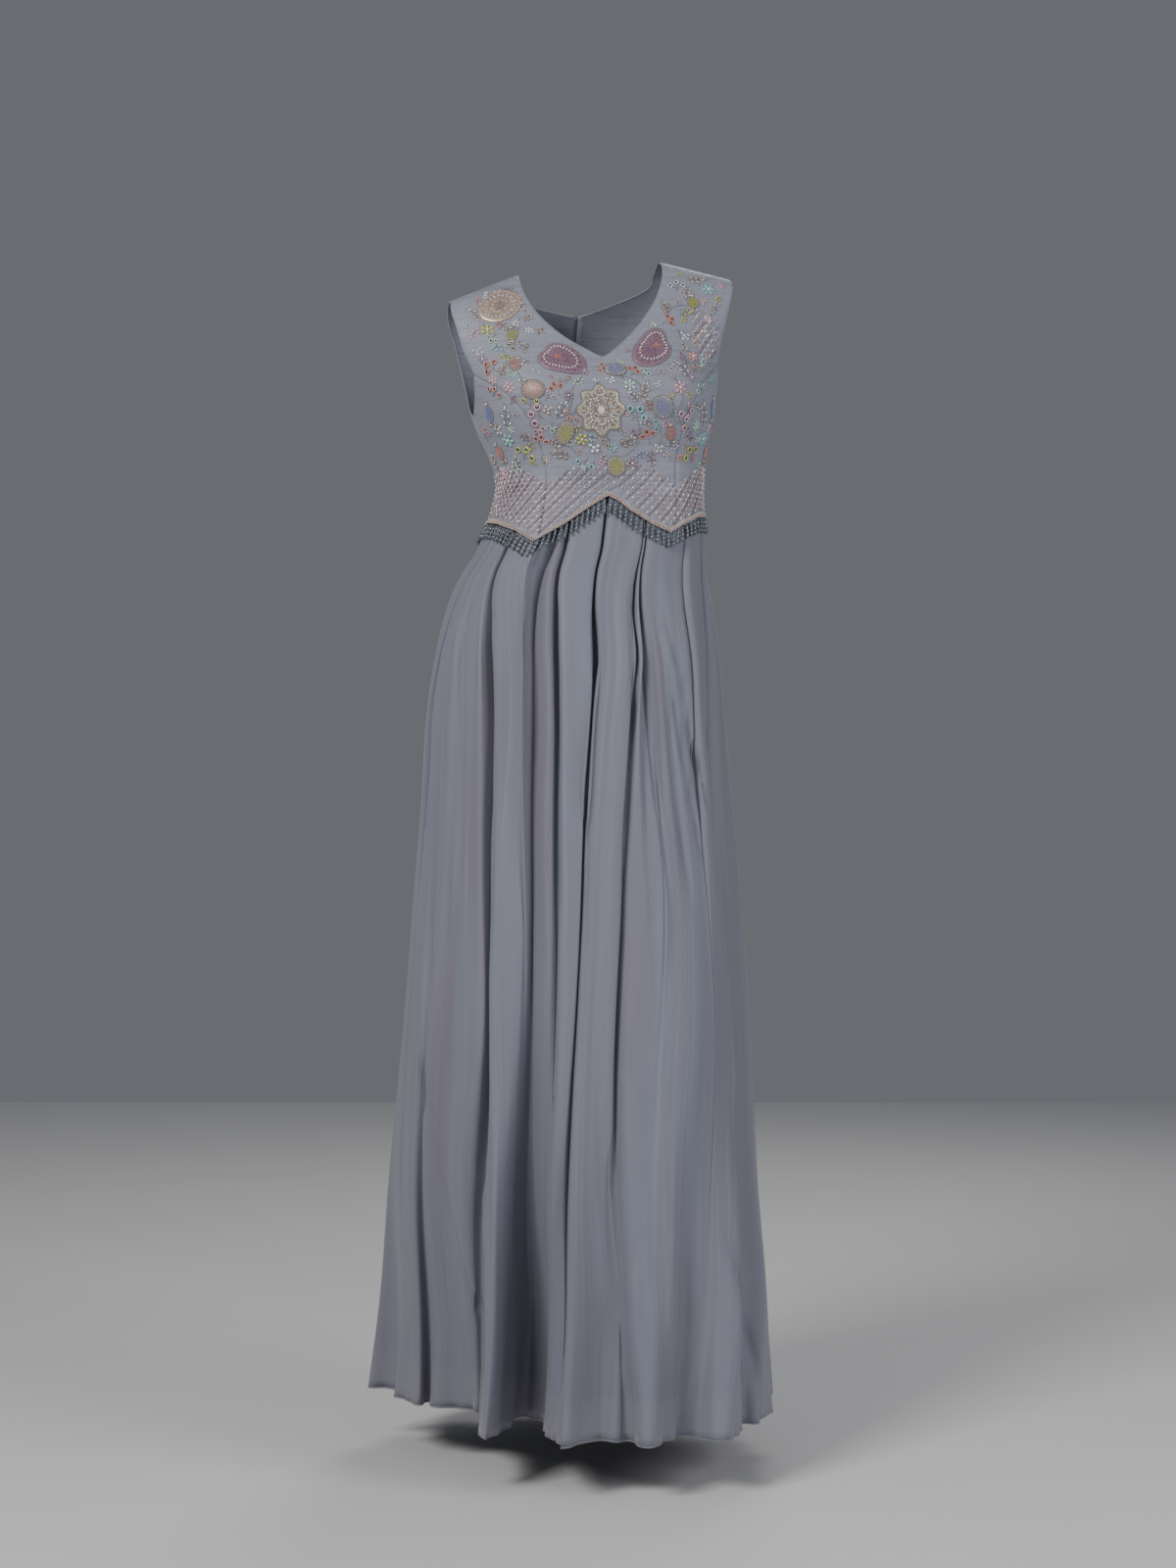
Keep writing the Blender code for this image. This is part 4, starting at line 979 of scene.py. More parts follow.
def fine_path(path, corners):
    """A path with ROW_PARTS steps for each row, smooth between its corners."""
    fine = []
    for first, last in zip(corners, corners[1:]):
        rows = np.arange(first * ROW_PARTS, last * ROW_PARTS) / ROW_PARTS
        fine.append(np.stack([curve(np.arange(first, last + 1), path[first:last + 1, part], rows)
                              for part in (0, 1)], axis=-1))
    return np.concatenate(fine + [path[-1:]])


def panel_grid(inner, outer, columns, body_dip=0.0):
    """Degrees and rows of a left panel between two fine edges."""
    share = shares(columns)
    grid = inner[:, None] + (outer - inner)[:, None] * share[None, :, None]
    grid[BODY_ROWS * ROW_PARTS, :, 1] += np.sin(share * np.pi) * body_dip
    return grid


def both_sides(grid):
    """A left panel and its mirrored fellow, each cut to its own stretch of the pointed hem."""
    top = BODY_ROWS * ROW_PARTS
    rise = (np.arange(top) / top)[:, None]
    sides = []
    for sign in (1, -1):
        side = grid * (sign, 1)
        low, high = hem_z(side[0, :, 0]), section_at(side[top, :, 1]).z
        side[:top, :, 1] = level_at(lerp(low, high, rise))
        sides.append(side)
    return sides


def point_row(deg, z, count):
    """The same place, repeated as rows of an edge."""
    return np.array([(deg, float(on_bodice(0.0, z)[1]))] * count)


princess = seam_path(PRINCESS_TOP[1], PRINCESS)
front_outer = princess - (SEAM_DEG, 0)
front_outer = np.vstack([front_outer, strap_path(front_outer[-1, 1], FRONT_ARMHOLE, False)])
front_inner = np.vstack([point_row(0.0, V_POINT_Z, BODY_ROWS + 1),
                         neck_path(V_POINT_Z, False, STRAP_ROWS)])
both = (0, BODY_ROWS, BODY_ROWS + STRAP_ROWS)
front_sides = both_sides(panel_grid(fine_path(front_inner, both), fine_path(front_outer, both),
                                    52))
underarm = float(level_at(UNDERARM_Z))
side_inner = seam_path(PRINCESS_TOP[1] - 2 * SEAM_GAP, PRINCESS) + (SEAM_DEG, 0)
side_outer = np.array([(90 - SEAM_DEG, underarm)] * (BODY_ROWS + 1))
side_sides = both_sides(panel_grid(fine_path(side_inner, both[:2]),
                                   fine_path(side_outer, both[:2]), 34, UNDERARM_DIP))
back_corner = BODY_ROWS + len(BACK_SEAM_ROWS)
back_inner = np.vstack([point_row(180 - SEAM_DEG, BACK_SEAM_ROWS[0], BODY_ROWS)]
                       + [point_row(180 - SEAM_DEG, z, 1) for z in BACK_SEAM_ROWS + (BACK_NECK_Z,)]
                       + [neck_path(BACK_NECK_Z, True, STRAP_ROWS - len(BACK_SEAM_ROWS))])
back_outer = np.vstack([[(90 + SEAM_DEG, underarm)] * (BODY_ROWS + 1),
                        strap_path(underarm, BACK_ARMHOLE, True)])
back_sides = both_sides(panel_grid(fine_path(back_inner, (0, BODY_ROWS, back_corner, both[2])),
                                   fine_path(back_outer, both), 64))
print("panel grids", [sides[0].shape[:2] for sides in (front_sides, side_sides, back_sides)])

# %% [markdown]
# ## Cutting and sewing the bodice
# Each seam pulls the cloth in a little along a line, and the edges at the neck and armholes
# are turned under, so they round off. A few soft pulls run from the armholes and the waist.

# %% Bodice pieces
SILK_THICK = 0.0012
SEAM_DIP = 0.0007
SEAM_WIDE = 0.0022
EDGE_DROP = 0.0005
EDGE_WIDE = 0.0020
Pull = namedtuple("Pull", "start end wide deep")
PULLS = rows_of(Pull, [
    ((0.148, -0.138), (0.100, -0.168), 0.007, 0.0012),
    ((-0.146, -0.136), (-0.104, -0.170), 0.007, -0.0013),
    ((0.126, -0.236), (0.082, -0.226), 0.006, -0.0010),
    ((-0.124, -0.240), (-0.080, -0.232), 0.006, 0.0011),
    ((0.120, -0.262), (0.070, -0.268), 0.005, 0.0009),
    ((-0.118, -0.266), (-0.072, -0.262), 0.005, -0.0009),
    ((0.150, -0.060), (0.112, -0.084), 0.007, -0.0010),
    ((-0.148, -0.058), (-0.110, -0.088), 0.007, 0.0011),
    ((0.060, -0.252), (-0.052, -0.256), 0.007, -0.0008),
])


def pull_push(across, z):
    """How far out the soft pulls move the silk at places across and up."""
    push = np.zeros_like(across)
    for pull in PULLS:
        start, end = np.array(pull.start), np.array(pull.end)
        run = end - start
        along = ((across - start[0]) * run[0] + (z - start[1]) * run[1]) / (run @ run)
        near = np.clip(along, 0, 1)
        away = np.hypot(across - start[0] - near * run[0], z - start[1] - near * run[1])
        push += pull.deep * np.sin(np.pi * near) * np.exp(-(away / pull.wide) ** 2)
    return push


def silk_points(grid, seams):
    """Outer points of a panel, dipped at its seams and rounded at its free edges."""
    points, axes = bodice_frame(grid[..., 0], grid[..., 1])
    from_first = run_lengths(points, 1)
    from_last = from_first[:, -1:] - from_first
    body = (np.arange(len(points)) <= BODY_ROWS * ROW_PARTS)[:, None]
    push = np.zeros(points.shape[:2])
    for side, away in (("first", from_first), ("last", from_last)):
        for place, rows in (("body", body), ("strap", ~body)):
            kind = seams.get(side + "_" + place)
            deep, wide = {"seam": (SEAM_DIP, SEAM_WIDE), "edge": (EDGE_DROP, EDGE_WIDE),
                          None: (0.0, SEAM_WIDE)}[kind]
            push -= np.where(rows, deep * np.exp(-(away / wide) ** 2), 0)
    push += pull_push(points[..., 0], points[..., 2]) * (np.abs(grid[..., 0]) < 90)
    return points + axes[..., 2, :] * push[..., None]


def add_silk(name, grids, seams, merged=0):
    """One silk panel from its left grid, or from two that share their first column low down."""
    points, faces = [], []
    for number, grid in enumerate(grids):
        surface = silk_points(grid, seams)
        rows, columns = surface.shape[:2]
        plain = np.arange(rows * columns).reshape(rows, columns)
        corner = plain + number * rows * columns
        if number:
            corner[:merged + 1, 0] = plain[:merged + 1, 0]
        quads = strips(corner[:, :-1], corner[:, 1:])
        flip = grid[0, -1, 0] < grid[0, 0, 0]
        points.append(surface.reshape(-1, 3))
        faces.append(quads[:, ::-1] if flip else quads)
    points, faces = np.concatenate(points), np.concatenate(faces)
    used, corners = np.unique(faces, return_inverse=True)
    points, faces = shell(points[used], corners.reshape(faces.shape), SILK_THICK)
    piece = add_piece(name + "_silk", points, faces, silk)
    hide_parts(name)
    print(name, "faces", len(faces))
    return piece


FRONT_EDGES = {"last_body": "seam", "first_strap": "edge", "last_strap": "edge"}
SIDE_EDGES = {"first_body": "seam", "last_body": "seam"}
BACK_EDGES = {"first_body": "seam", "last_body": "seam", "first_strap": "edge",
              "last_strap": "edge"}
silk_pieces = {"bodice_front": add_silk("bodice_front", front_sides, FRONT_EDGES,
                                        merged=BODY_ROWS * ROW_PARTS)}
for number, side in enumerate(("left", "right")):
    for name, sides, edges in (("bodice_side_front_", side_sides, SIDE_EDGES),
                               ("bodice_back_", back_sides, BACK_EDGES)):
        silk_pieces[name + side] = add_silk(name + side, [sides[number]], edges)

# %% [markdown]
# ## Beads by the thousand
# Each kind of bead is one small shape. `sew_on` copies it to many places at once with numpy:
# each copy has its own directions, size, colour and shine, and all copies make one mesh.

# %% Bead shapes and beadwork material
def bead_shape(spin, rings):
    """A ball of radius 1 with few faces."""
    points, faces = [(0.0, 0.0, 1.0)], []
    for ring in range(1, rings + 1):
        fall = math.pi * ring / (rings + 1)
        points += [(math.sin(fall) * math.cos(2 * math.pi * turn / spin),
                    math.sin(fall) * math.sin(2 * math.pi * turn / spin), math.cos(fall))
                   for turn in range(spin)]
    points.append((0.0, 0.0, -1.0))
    for turn in range(spin):
        after = (turn + 1) % spin
        faces.append((0, 1 + turn, 1 + after))
        for ring in range(rings - 1):
            low, high = 1 + ring * spin, 1 + (ring + 1) * spin
            faces.append((low + turn, high + turn, high + after, low + after))
        last = 1 + (rings - 1) * spin
        faces.append((last + turn, len(points) - 1, last + after))
    return np.array(points), faces


def ring_shape(spin=10, sides=5, thick=0.24):
    """A ring of outer radius 1 that lies flat."""
    points, faces = [], []
    for turn in range(spin):
        angle = 2 * math.pi * turn / spin
        for side in range(sides):
            roll = 2 * math.pi * side / sides
            out = 1 - thick + thick * math.cos(roll)
            points.append((out * math.cos(angle), out * math.sin(angle), thick * math.sin(roll)))
            after, beside = (turn + 1) % spin, (side + 1) % sides
            faces.append((turn * sides + side, after * sides + side, after * sides + beside,
                          turn * sides + beside))
    return np.array(points), faces


def disc_shape(spin=8, rise=0.16):
    """A thin round disc of radius 1, a little cupped, like a sequin."""
    rim = [(math.cos(2 * math.pi * turn / spin), math.sin(2 * math.pi * turn / spin))
           for turn in range(spin)]
    points = [(x, y, rise) for x, y in rim] + [(x, y, -rise) for x, y in rim]
    points += [(0.0, 0.0, 0.0), (0.0, 0.0, -rise)]
    faces = []
    for turn in range(spin):
        after = (turn + 1) % spin
        faces += [(turn, after, 2 * spin), (spin + after, spin + turn, 2 * spin + 1),
                  (spin + turn, spin + after, after, turn)]
    return np.array(points), faces


SHAPES = {"seed": bead_shape(5, 2), "bead": bead_shape(6, 3), "round": bead_shape(8, 5),
          "ring": ring_shape(), "disc": disc_shape()}
Finish = namedtuple("Finish", "colour metal rough")
THREAD = {
    "silver": Finish((0.72, 0.72, 0.75), 0.55, 0.24),
    "pearl": Finish((0.80, 0.78, 0.76), 0.0, 0.18),
    "blush": Finish((0.58, 0.45, 0.41), 0.15, 0.28),
    "champagne": Finish((0.47, 0.36, 0.26), 0.35, 0.34),
    "beige": Finish((0.55, 0.46, 0.37), 0.1, 0.45),
    "rose_gold": Finish((0.62, 0.44, 0.40), 0.45, 0.28),
    "plum": Finish((0.235, 0.120, 0.180), 0.10, 0.40),
    "orchid": Finish((0.340, 0.215, 0.290), 0.10, 0.36),
    "mauve": Finish((0.25, 0.17, 0.215), 0.1, 0.36),
    "rose": Finish((0.46, 0.28, 0.31), 0.1, 0.34),
    "periwinkle": Finish((0.23, 0.29, 0.52), 0.1, 0.30),
    "salmon": Finish((0.60, 0.27, 0.22), 0.05, 0.36),
    "coral": Finish((0.56, 0.19, 0.13), 0.0, 0.32),
    "chartreuse": Finish((0.46, 0.47, 0.10), 0.05, 0.34),
    "aqua": Finish((0.22, 0.50, 0.50), 0.05, 0.28),
    "mint": Finish((0.42, 0.62, 0.52), 0.0, 0.34),
    "pink": Finish((0.66, 0.36, 0.42), 0.05, 0.32),
    "taupe": Finish((0.245, 0.215, 0.205), 0.25, 0.40),
    "smoke": Finish((0.035, 0.045, 0.060), 0.3, 0.12),
    "mirror": Finish((0.12, 0.14, 0.17), 0.9, 0.10),
    "teal": Finish((0.048, 0.080, 0.094), 0.10, 0.09),
}
BEAD_GREY = (0.62, 0.60, 0.60)
BEAD_GRAINS_PER_M = (900, 900, 900)
beadwork, wire, shader = material("bead_work_look", Specular_IOR_Level=0.55)
tint = wire.node("Attribute", output=0, attribute_name="tint")
shine = wire.node("Attribute", output=1, attribute_name="shine")
grain = wire.node("TexCoord", output=3).scaled(*BEAD_GRAINS_PER_M).noise(1.0, 0.5)
connect(wire, shader, Base_Color=(grain * 0.14).clamp().mix(tint, BEAD_GREY),
        Metallic=shine.node("SeparateXYZ", {0: shine}, output=0),
        Roughness=shine.node("SeparateXYZ", {0: shine}, output=1))


class Sewing:
    """Collects beads for one piece of beadwork."""

    def __init__(self):
        self.points, self.faces, self.tints, self.shines = [], [], [], []
        self.count = 0

    def add_mesh(self, points, faces, names):
        """Adds copies of a mesh, a named finish each: all the points, and one copy's faces."""
        finishes = [THREAD[name] for name in names]
        each = len(points) // len(finishes)
        for start in range(self.count, self.count + len(points), each):
            self.faces += [[corner + start for corner in face] for face in faces]
        self.points.append(points)
        self.tints.append(np.repeat([finish.colour for finish in finishes], each, axis=0))
        self.shines.append(np.repeat([(finish.metal, finish.rough, 0.0) for finish in finishes],
                                     each, axis=0))
        self.count += len(points)

    def sew_on(self, shape, spots, axes, sizes, names):
        """Copies a shape: axes are rows of left, up and out; sizes are half sizes along them."""
        if not len(spots):
            return
        points, faces = SHAPES[shape]
        names = [names] * len(spots) if isinstance(names, str) else names
        sizes = np.broadcast_to(np.asarray(sizes, float), (len(spots), 3))
        made = spots[:, None] + np.einsum("pk,nk,nkj->npj", points, sizes, axes)
        self.add_mesh(made.reshape(-1, 3), faces, names)

    def finish(self, name, slot, node=None):
        """Makes the piece, which takes the place of a node of the model if one is named."""
        piece = add_piece(name, np.concatenate(self.points), self.faces, beadwork,
                          tint=np.concatenate(self.tints), shine=np.concatenate(self.shines))
        if node:
            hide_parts(node)
        print(name, "triangles", sum(len(face) - 2 for face in self.faces))


print("bead shapes", {name: len(shape[1]) for name, shape in SHAPES.items()})

# %% [markdown]
# ## Cord and fringe
# A band of beads covers the bodice's pointed hem, and glass beads hang from it on threads, four
# to a thread. Each thread hangs a little away from the cloth and sways a little its own way.

# %% Hem cord and bead fringe
CORD_TALL = 0.006
CORD_ROWS = [(0.0012, 0.00125, "blush", 0.00255), (0.0036, 0.00135, "blush", 0.0028),
             (0.0057, 0.00070, "silver", 0.00155)]
CORD_OUT = 0.0010
STRANDS = 54
STRAND_LONG = 0.021
BEAD_DROPS = np.array([0.17, 0.41, 0.65, 0.89])
BEAD_HALF = (0.0019, 0.0019, 0.0020)
SPACER_HALF = (0.00095, 0.00095, 0.0008)
THREAD_RADIUS = 0.0003
BAND_BACK, BAND_FRONT = 0.0004, 0.0009
TRIM_STEP = 0.5


def trim_point(deg, z, out):
    """Points moved straight out from the worn section at heights."""
    section = section_at(level_at(z))
    side = np.subtract(*(np.stack(flat_place(section, deg + step), -1)
                         for step in (TRIM_STEP, -TRIM_STEP)))
    normal = np.stack([side[..., 1], -side[..., 0]], axis=-1)
    normal *= np.reshape(out, np.shape(out) + (1,)) / np.linalg.norm(normal, axis=-1, keepdims=True)
    across, along = flat_place(section, deg)
    return worn(section, across + normal[..., 0], along + normal[..., 1], z)


def along_hem(start, end, rise, out, pitch):
    """Evenly spaced places along the pointed hem, with their directions."""
    deg = np.linspace(start, end, 1600)
    line = trim_point(deg, hem_z(deg) + rise, out)
    run = run_lengths(line, 0)
    length = run[-1]
    at = (np.arange(int(length / pitch)) + 0.5) * length / int(length / pitch)
    spots = np.stack([np.interp(at, run, line[:, part]) for part in range(3)], axis=-1)
    ahead = unit(np.gradient(spots, axis=0))
    degs = np.interp(at, run, deg)
    near, far = (trim_point(degs, hem_z(degs) + rise, reach) for reach in (out, out + 0.01))
    up = np.cross(unit(far - near), ahead)
    return spots, np.stack([ahead, up, np.cross(ahead, up)], axis=1)


def add_trim(name, start, end, seed):
    """One half of the cord, with its fringe."""
    chance = np.random.default_rng(seed)
    work = Sewing()
    band_deg = np.linspace(start, end, 160)
    low = hem_z(band_deg)
    ring = ((BAND_BACK, BAND_BACK), (CORD_TALL, BAND_BACK), (CORD_TALL, BAND_FRONT),
            (BAND_BACK, BAND_FRONT))
    band = np.stack([trim_point(band_deg, low + rise, out) for rise, out in ring], axis=1)
    work.add_mesh(band.reshape(-1, 3), pipe_faces(len(band), len(ring)), ["taupe"])
    for rise, half, colour, pitch in CORD_ROWS:
        spots, axes = along_hem(start, end, rise, CORD_OUT + half * 0.6, pitch)
        sizes = half * chance.uniform(0.92, 1.08, (len(spots), 1)) * (1.05, 1.0, 1.0)
        work.sew_on("seed" if half < 0.001 else "bead", spots, axes, sizes, colour)
    run_deg = np.linspace(start, end, 721)
    run = run_lengths(trim_point(run_deg, hem_z(run_deg), 0.0), 0)
    print(name, "cord", round(float(run[-1]), 3), "m")
    for strand in range(STRANDS):
        middle = float(np.interp(run[-1] * (2 * strand + 1.5) / (2 * STRANDS + 1), run, run_deg))
        sway = chance.normal(0, 0.28)
        drop = BEAD_DROPS * STRAND_LONG * chance.uniform(0.90, 1.0)
        degs = middle + sway * BEAD_DROPS
        out = np.interp(drop, (0.0, 0.009, STRAND_LONG), (0.0024, 0.0030, 0.0038))
        spots = trim_point(degs, hem_z(middle) - drop, out)
        knot = trim_point(np.array([middle]), hem_z(middle) + 0.001, np.array([0.0016]))
        thread = np.vstack([knot, spots])
        down = -unit(np.diff(thread, axis=0))
        side = unit(np.cross(down, (0.0, 1.0, 0.0)))
        axes = np.stack([side, np.cross(down, side), down], axis=1)
        sizes = np.array(BEAD_HALF) * chance.uniform(0.9, 1.08, (len(spots), 1))
        work.sew_on("round", spots, axes, sizes, "teal")
        work.sew_on("bead", (thread[1:-1] + thread[2:]) / 2, axes[1:], SPACER_HALF, "silver")
        work.add_mesh(*tube(thread, THREAD_RADIUS, 4), ["smoke"])
    work.finish(name + "_beads", "glass_fringe", name)


add_trim("hem_trim_front", -89.9, 89.9, 11)
add_trim("hem_trim_back", 90.1, 269.9, 12)

# %% [markdown]
# ## Motifs
# The larger motifs are thick patches of beadwork: a padded ground that follows the bust, seed
# beads in close rows over it, and a cord round the outline. The flowers, paisleys and drops are
# plain traditional shapes, laid out freely. Their colours run from plum to champagne.

# %% Padded motifs
MOTIF_LIFT = 0.0007
PAD_TALL = 0.0011
SEED_PITCH = 0.00172
SEED_HALF = 0.00082
PEARL_HALF = 0.00125
PEARL_PITCH = 0.0040
EDGE_PITCH = 0.0021
EDGE_HALF = (0.00125, 0.00075, 0.00075)
PAD_SPIN = 48
PAD_UNDER = 0.0002
PAD_ROUND = [(0.5, 1.0), (0.80, 0.85), (0.96, 0.55), (1.0, 0.0)]
PEARL_RINGS = {"dots": 0.70, "fan": 0.56}
PAD_GROUNDS = {"fan": "champagne", "dots": "plum", "rings": "champagne"}
RIBS = {"fan": 24, "dots": 20, "rings": 22}
FIRST_SEED = 40
Motif = namedtuple("Motif", "name x z half_wide half_tall tilt outline look")
MOTIFS = rows_of(Motif, [
    ("motif_lotus", -0.012, -0.174, 0.030, 0.031, 0, "flower", "fan"),
    ("motif_paisley_right", -0.056, -0.106, 0.036, 0.027, -33, "paisley", "dots"),
    ("motif_paisley_left", 0.068, -0.098, 0.036, 0.027, 208, "paisley", "dots"),
    ("motif_rosette_right", -0.118, -0.030, 0.027, 0.020, 12, "round", "rings"),
    ("motif_bud_right", -0.090, -0.146, 0.013, 0.012, 0, "round", "salmon"),
    ("motif_bud_left", 0.064, -0.172, 0.013, 0.013, 0, "round", "periwinkle"),
    ("motif_drop_right", -0.056, -0.200, 0.010, 0.014, -20, "round", "chartreuse"),
    ("motif_drop_left", 0.012, -0.126, 0.013, 0.008, 0, "round", "periwinkle"),
    ("motif_disc_centre", 0.004, -0.240, 0.011, 0.012, 0, "round", "chartreuse"),
])


def outline_radius(kind, angle):
    """Radius of a motif's outline, as a share of its half size."""
    if kind == "flower":
        return 0.90 + 0.10 * np.cos(8 * angle)
    if kind == "paisley":
        return 0.72 + 0.28 * np.cos(angle) ** 3 + 0.08 * np.sin(2 * angle)
    return 1.0 + 0 * angle


def on_silk(across, z):
    """Points on the front's silk at places across and up, with left, up and out."""
    across, z = np.asarray(across, float), np.asarray(z, float)
    place, axes = bodice_frame(*on_bodice(across, z))
    return place + axes[..., 2, :] * pull_push(place[..., 0], place[..., 2])[..., None], axes


def flat_run(x, z):
    """Distance run along a flat path, from its first point."""
    return np.concatenate([[0], np.cumsum(np.hypot(np.diff(x), np.diff(z)))])


def motif_place(motif, angle, scale):
    """Places across and up inside a motif, from angles and shares of its outline."""
    radius = outline_radius(motif.outline, angle) * scale
    wide = motif.half_wide * radius * np.cos(angle)
    tall = motif.half_tall * radius * np.sin(angle)
    tilt = math.radians(motif.tilt)
    return (motif.x + wide * math.cos(tilt) - tall * math.sin(tilt),
            motif.z + wide * math.sin(tilt) + tall * math.cos(tilt))


def ring_of(motif, scale, pitch):
    """Evenly spaced angles round a motif at one share of its outline."""
    angle = np.linspace(0, 2 * np.pi, 721)
    run = flat_run(*motif_place(motif, angle, scale))
    count = max(int(round(run[-1] / pitch)), 1)
    return np.interp((np.arange(count) + 0.5) * run[-1] / count, run, angle)


def seed_colour(look, share, angle, step):
    """Name of the thread colour of one seed bead."""
    rib = abs((angle * RIBS.get(look, 1) / (2 * math.pi)) % 1 - 0.5) * 2
    if look == "fan":
        if share < 0.18:
            return "pearl"
        if share > 0.84:
            return "chartreuse" if step % 5 == 0 else "silver"
        if 0.30 < share < 0.38 or rib < 0.40:
            return "taupe"
        return "silver" if step % 3 else "champagne"
    if look == "dots":
        if share < 0.16:
            return "coral"
        return "orchid" if rib < 0.35 or share > 0.86 else "plum"
    if look == "rings":
        if share < 0.26:
            return "mauve"
        if share > 0.86:
            return "blush"
        return "taupe" if rib < 0.34 else ("silver", "champagne", "blush")[int(share * 9) % 3]
    if share > 0.8:
        return "silver" if step % 2 else "taupe"
    return look


def pad(motif):
    """Points and faces of a motif's rounded ground, closed underneath."""
    angle = np.arange(PAD_SPIN) * 2 * np.pi / PAD_SPIN
    layers = [(angle, scale, MOTIF_LIFT + PAD_TALL * height) for scale, height in PAD_ROUND[::-1]]
    layers += [(angle[:1], 0.0, MOTIF_LIFT + PAD_TALL), (angle, 1.0, PAD_UNDER),
               (angle[:1], 0.0, PAD_UNDER)]
    points = []
    for around_it, scale, height in layers:
        place, axes = on_silk(*motif_place(motif, around_it, scale))
        points.append(place + axes[:, 2] * height)
    top = PAD_SPIN * len(PAD_ROUND)
    faces = []
    for turn in range(PAD_SPIN):
        after = (turn + 1) % PAD_SPIN
        for low in range(0, top - PAD_SPIN, PAD_SPIN):
            high = low + PAD_SPIN
            faces.append((low + turn, low + after, high + after, high + turn))
        faces += [(top - PAD_SPIN + turn, top - PAD_SPIN + after, top),
                  (after, turn, top + 1 + turn, top + 1 + after),
                  (top + 1 + after, top + 1 + turn, top + 1 + PAD_SPIN)]
    return np.concatenate(points), faces


def add_motif(motif, seed):
    """One padded motif with its rows of seed beads and its outline cord."""
    chance = np.random.default_rng(seed)
    work = Sewing()
    work.add_mesh(*pad(motif), [PAD_GROUNDS.get(motif.look, "taupe")])
    rows = max(int((motif.half_wide + motif.half_tall) / 2 / SEED_PITCH), 2)
    for row in range(rows):
        scale = 0.94 * (row + 0.35) / rows
        angles = ring_of(motif, scale, SEED_PITCH)
        rise = np.interp(scale, *np.transpose(PAD_ROUND))
        place, axes = on_silk(*motif_place(motif, angles, scale))
        place = place + axes[:, 2] * (MOTIF_LIFT + PAD_TALL * rise + SEED_HALF * 0.35)
        names = [seed_colour(motif.look, scale, turn, step) for step, turn in enumerate(angles)]
        sizes = SEED_HALF * chance.uniform(0.88, 1.12, (len(angles), 1)) * (1.0, 1.0, 0.9)
        grown = np.array([1.35 if name == "pearl" else 1.0 for name in names])[:, None]
        work.sew_on("seed", place, axes, sizes * grown, names)
    if motif.look in PEARL_RINGS:
        scale = PEARL_RINGS[motif.look]
        place, axes = on_silk(*motif_place(motif, ring_of(motif, scale, PEARL_PITCH), scale))
        work.sew_on("bead", place + axes[:, 2] * (MOTIF_LIFT + PAD_TALL + 0.0006), axes, PEARL_HALF,
                    "pearl")
    place, axes = on_silk(*motif_place(motif, ring_of(motif, 1.0, EDGE_PITCH), 1.0))
    ahead = unit(np.roll(place, -1, axis=0) - np.roll(place, 1, axis=0))
    out = axes[:, 2]
    axes = np.stack([ahead, np.cross(out, ahead), out], axis=1)
    work.sew_on("seed", place + out * 0.0010, axes, EDGE_HALF,
                "rose_gold" if motif.look == "rings" else "taupe")
    work.finish(motif.name + "_beadwork", "bead_work", motif.name)


for number, motif in enumerate(MOTIFS):
    add_motif(motif, FIRST_SEED + number)

# %% [markdown]
# ## Sprigs
# Between the motifs are small sprigs: mirrors in coloured rings, coral buds, leaf sprays,
# daisies, seed-bead buds and loose sequins, joined by fine cords. Each is drawn on a small map
# of the cloth round its own place, so it lies flat on the body wherever it is put.

# %% Drawing with beads
BEAD_RISE = 0.0006
CORD_BEAD = (0.00100, 0.00050, 0.00050)
VEIN_BEAD = (0.0009, 0.00042, 0.00045)
MOTIF_MARGIN = 0.0012
MOTIF_REACH = 0.06


def patch(deg, level):
    """A map round one place on the bodice, from metres left and up to points and axes."""
    wide = np.linalg.norm(bodice_point(deg + 0.5, level) - bodice_point(deg - 0.5, level))
    tall = np.linalg.norm(bodice_point(deg, level - 0.05) - bodice_point(deg, level + 0.05)) / 0.1

    def at(u, v):
        degs, levels = deg + np.asarray(u, float) / wide, level - np.asarray(v, float) / tall
        place, axes = bodice_frame(degs, levels)
        push = pull_push(place[..., 0], place[..., 2]) * (np.cos(np.radians(degs)) > 0)
        return place + axes[..., 2, :] * push[..., None], axes

    return at


def swung(u, v, deg):
    """Places turned about the middle of their map."""
    cosine, sine = math.cos(math.radians(deg)), math.sin(math.radians(deg))
    u, v = np.asarray(u, float), np.asarray(v, float)
    return u * cosine - v * sine, u * sine + v * cosine


def spun(axes, degs):
    """Axes turned about their own outward direction."""
    angle = np.radians(np.asarray(degs, float)).reshape(-1, 1)
    left, up, out = axes[:, 0], axes[:, 1], axes[:, 2]
    return np.stack([left * np.cos(angle) + up * np.sin(angle),
                     up * np.cos(angle) - left * np.sin(angle), out], axis=1)


MOTIF_FRAMES = [on_silk(motif.x, motif.z) for motif in MOTIFS]


def off_motifs(points):
    """Which points are clear of the padded motifs."""
    clear = np.ones(len(points), bool)
    for motif, (middle, axes) in zip(MOTIFS, MOTIF_FRAMES):
        away = points - middle
        wide, tall = swung(away @ axes[0], away @ axes[1], -motif.tilt)
        inside = np.hypot(wide / (motif.half_wide + MOTIF_MARGIN),
                          tall / (motif.half_tall + MOTIF_MARGIN)) <= 1
        clear &= ~inside | (np.linalg.norm(away, axis=1) > MOTIF_REACH)
    return clear


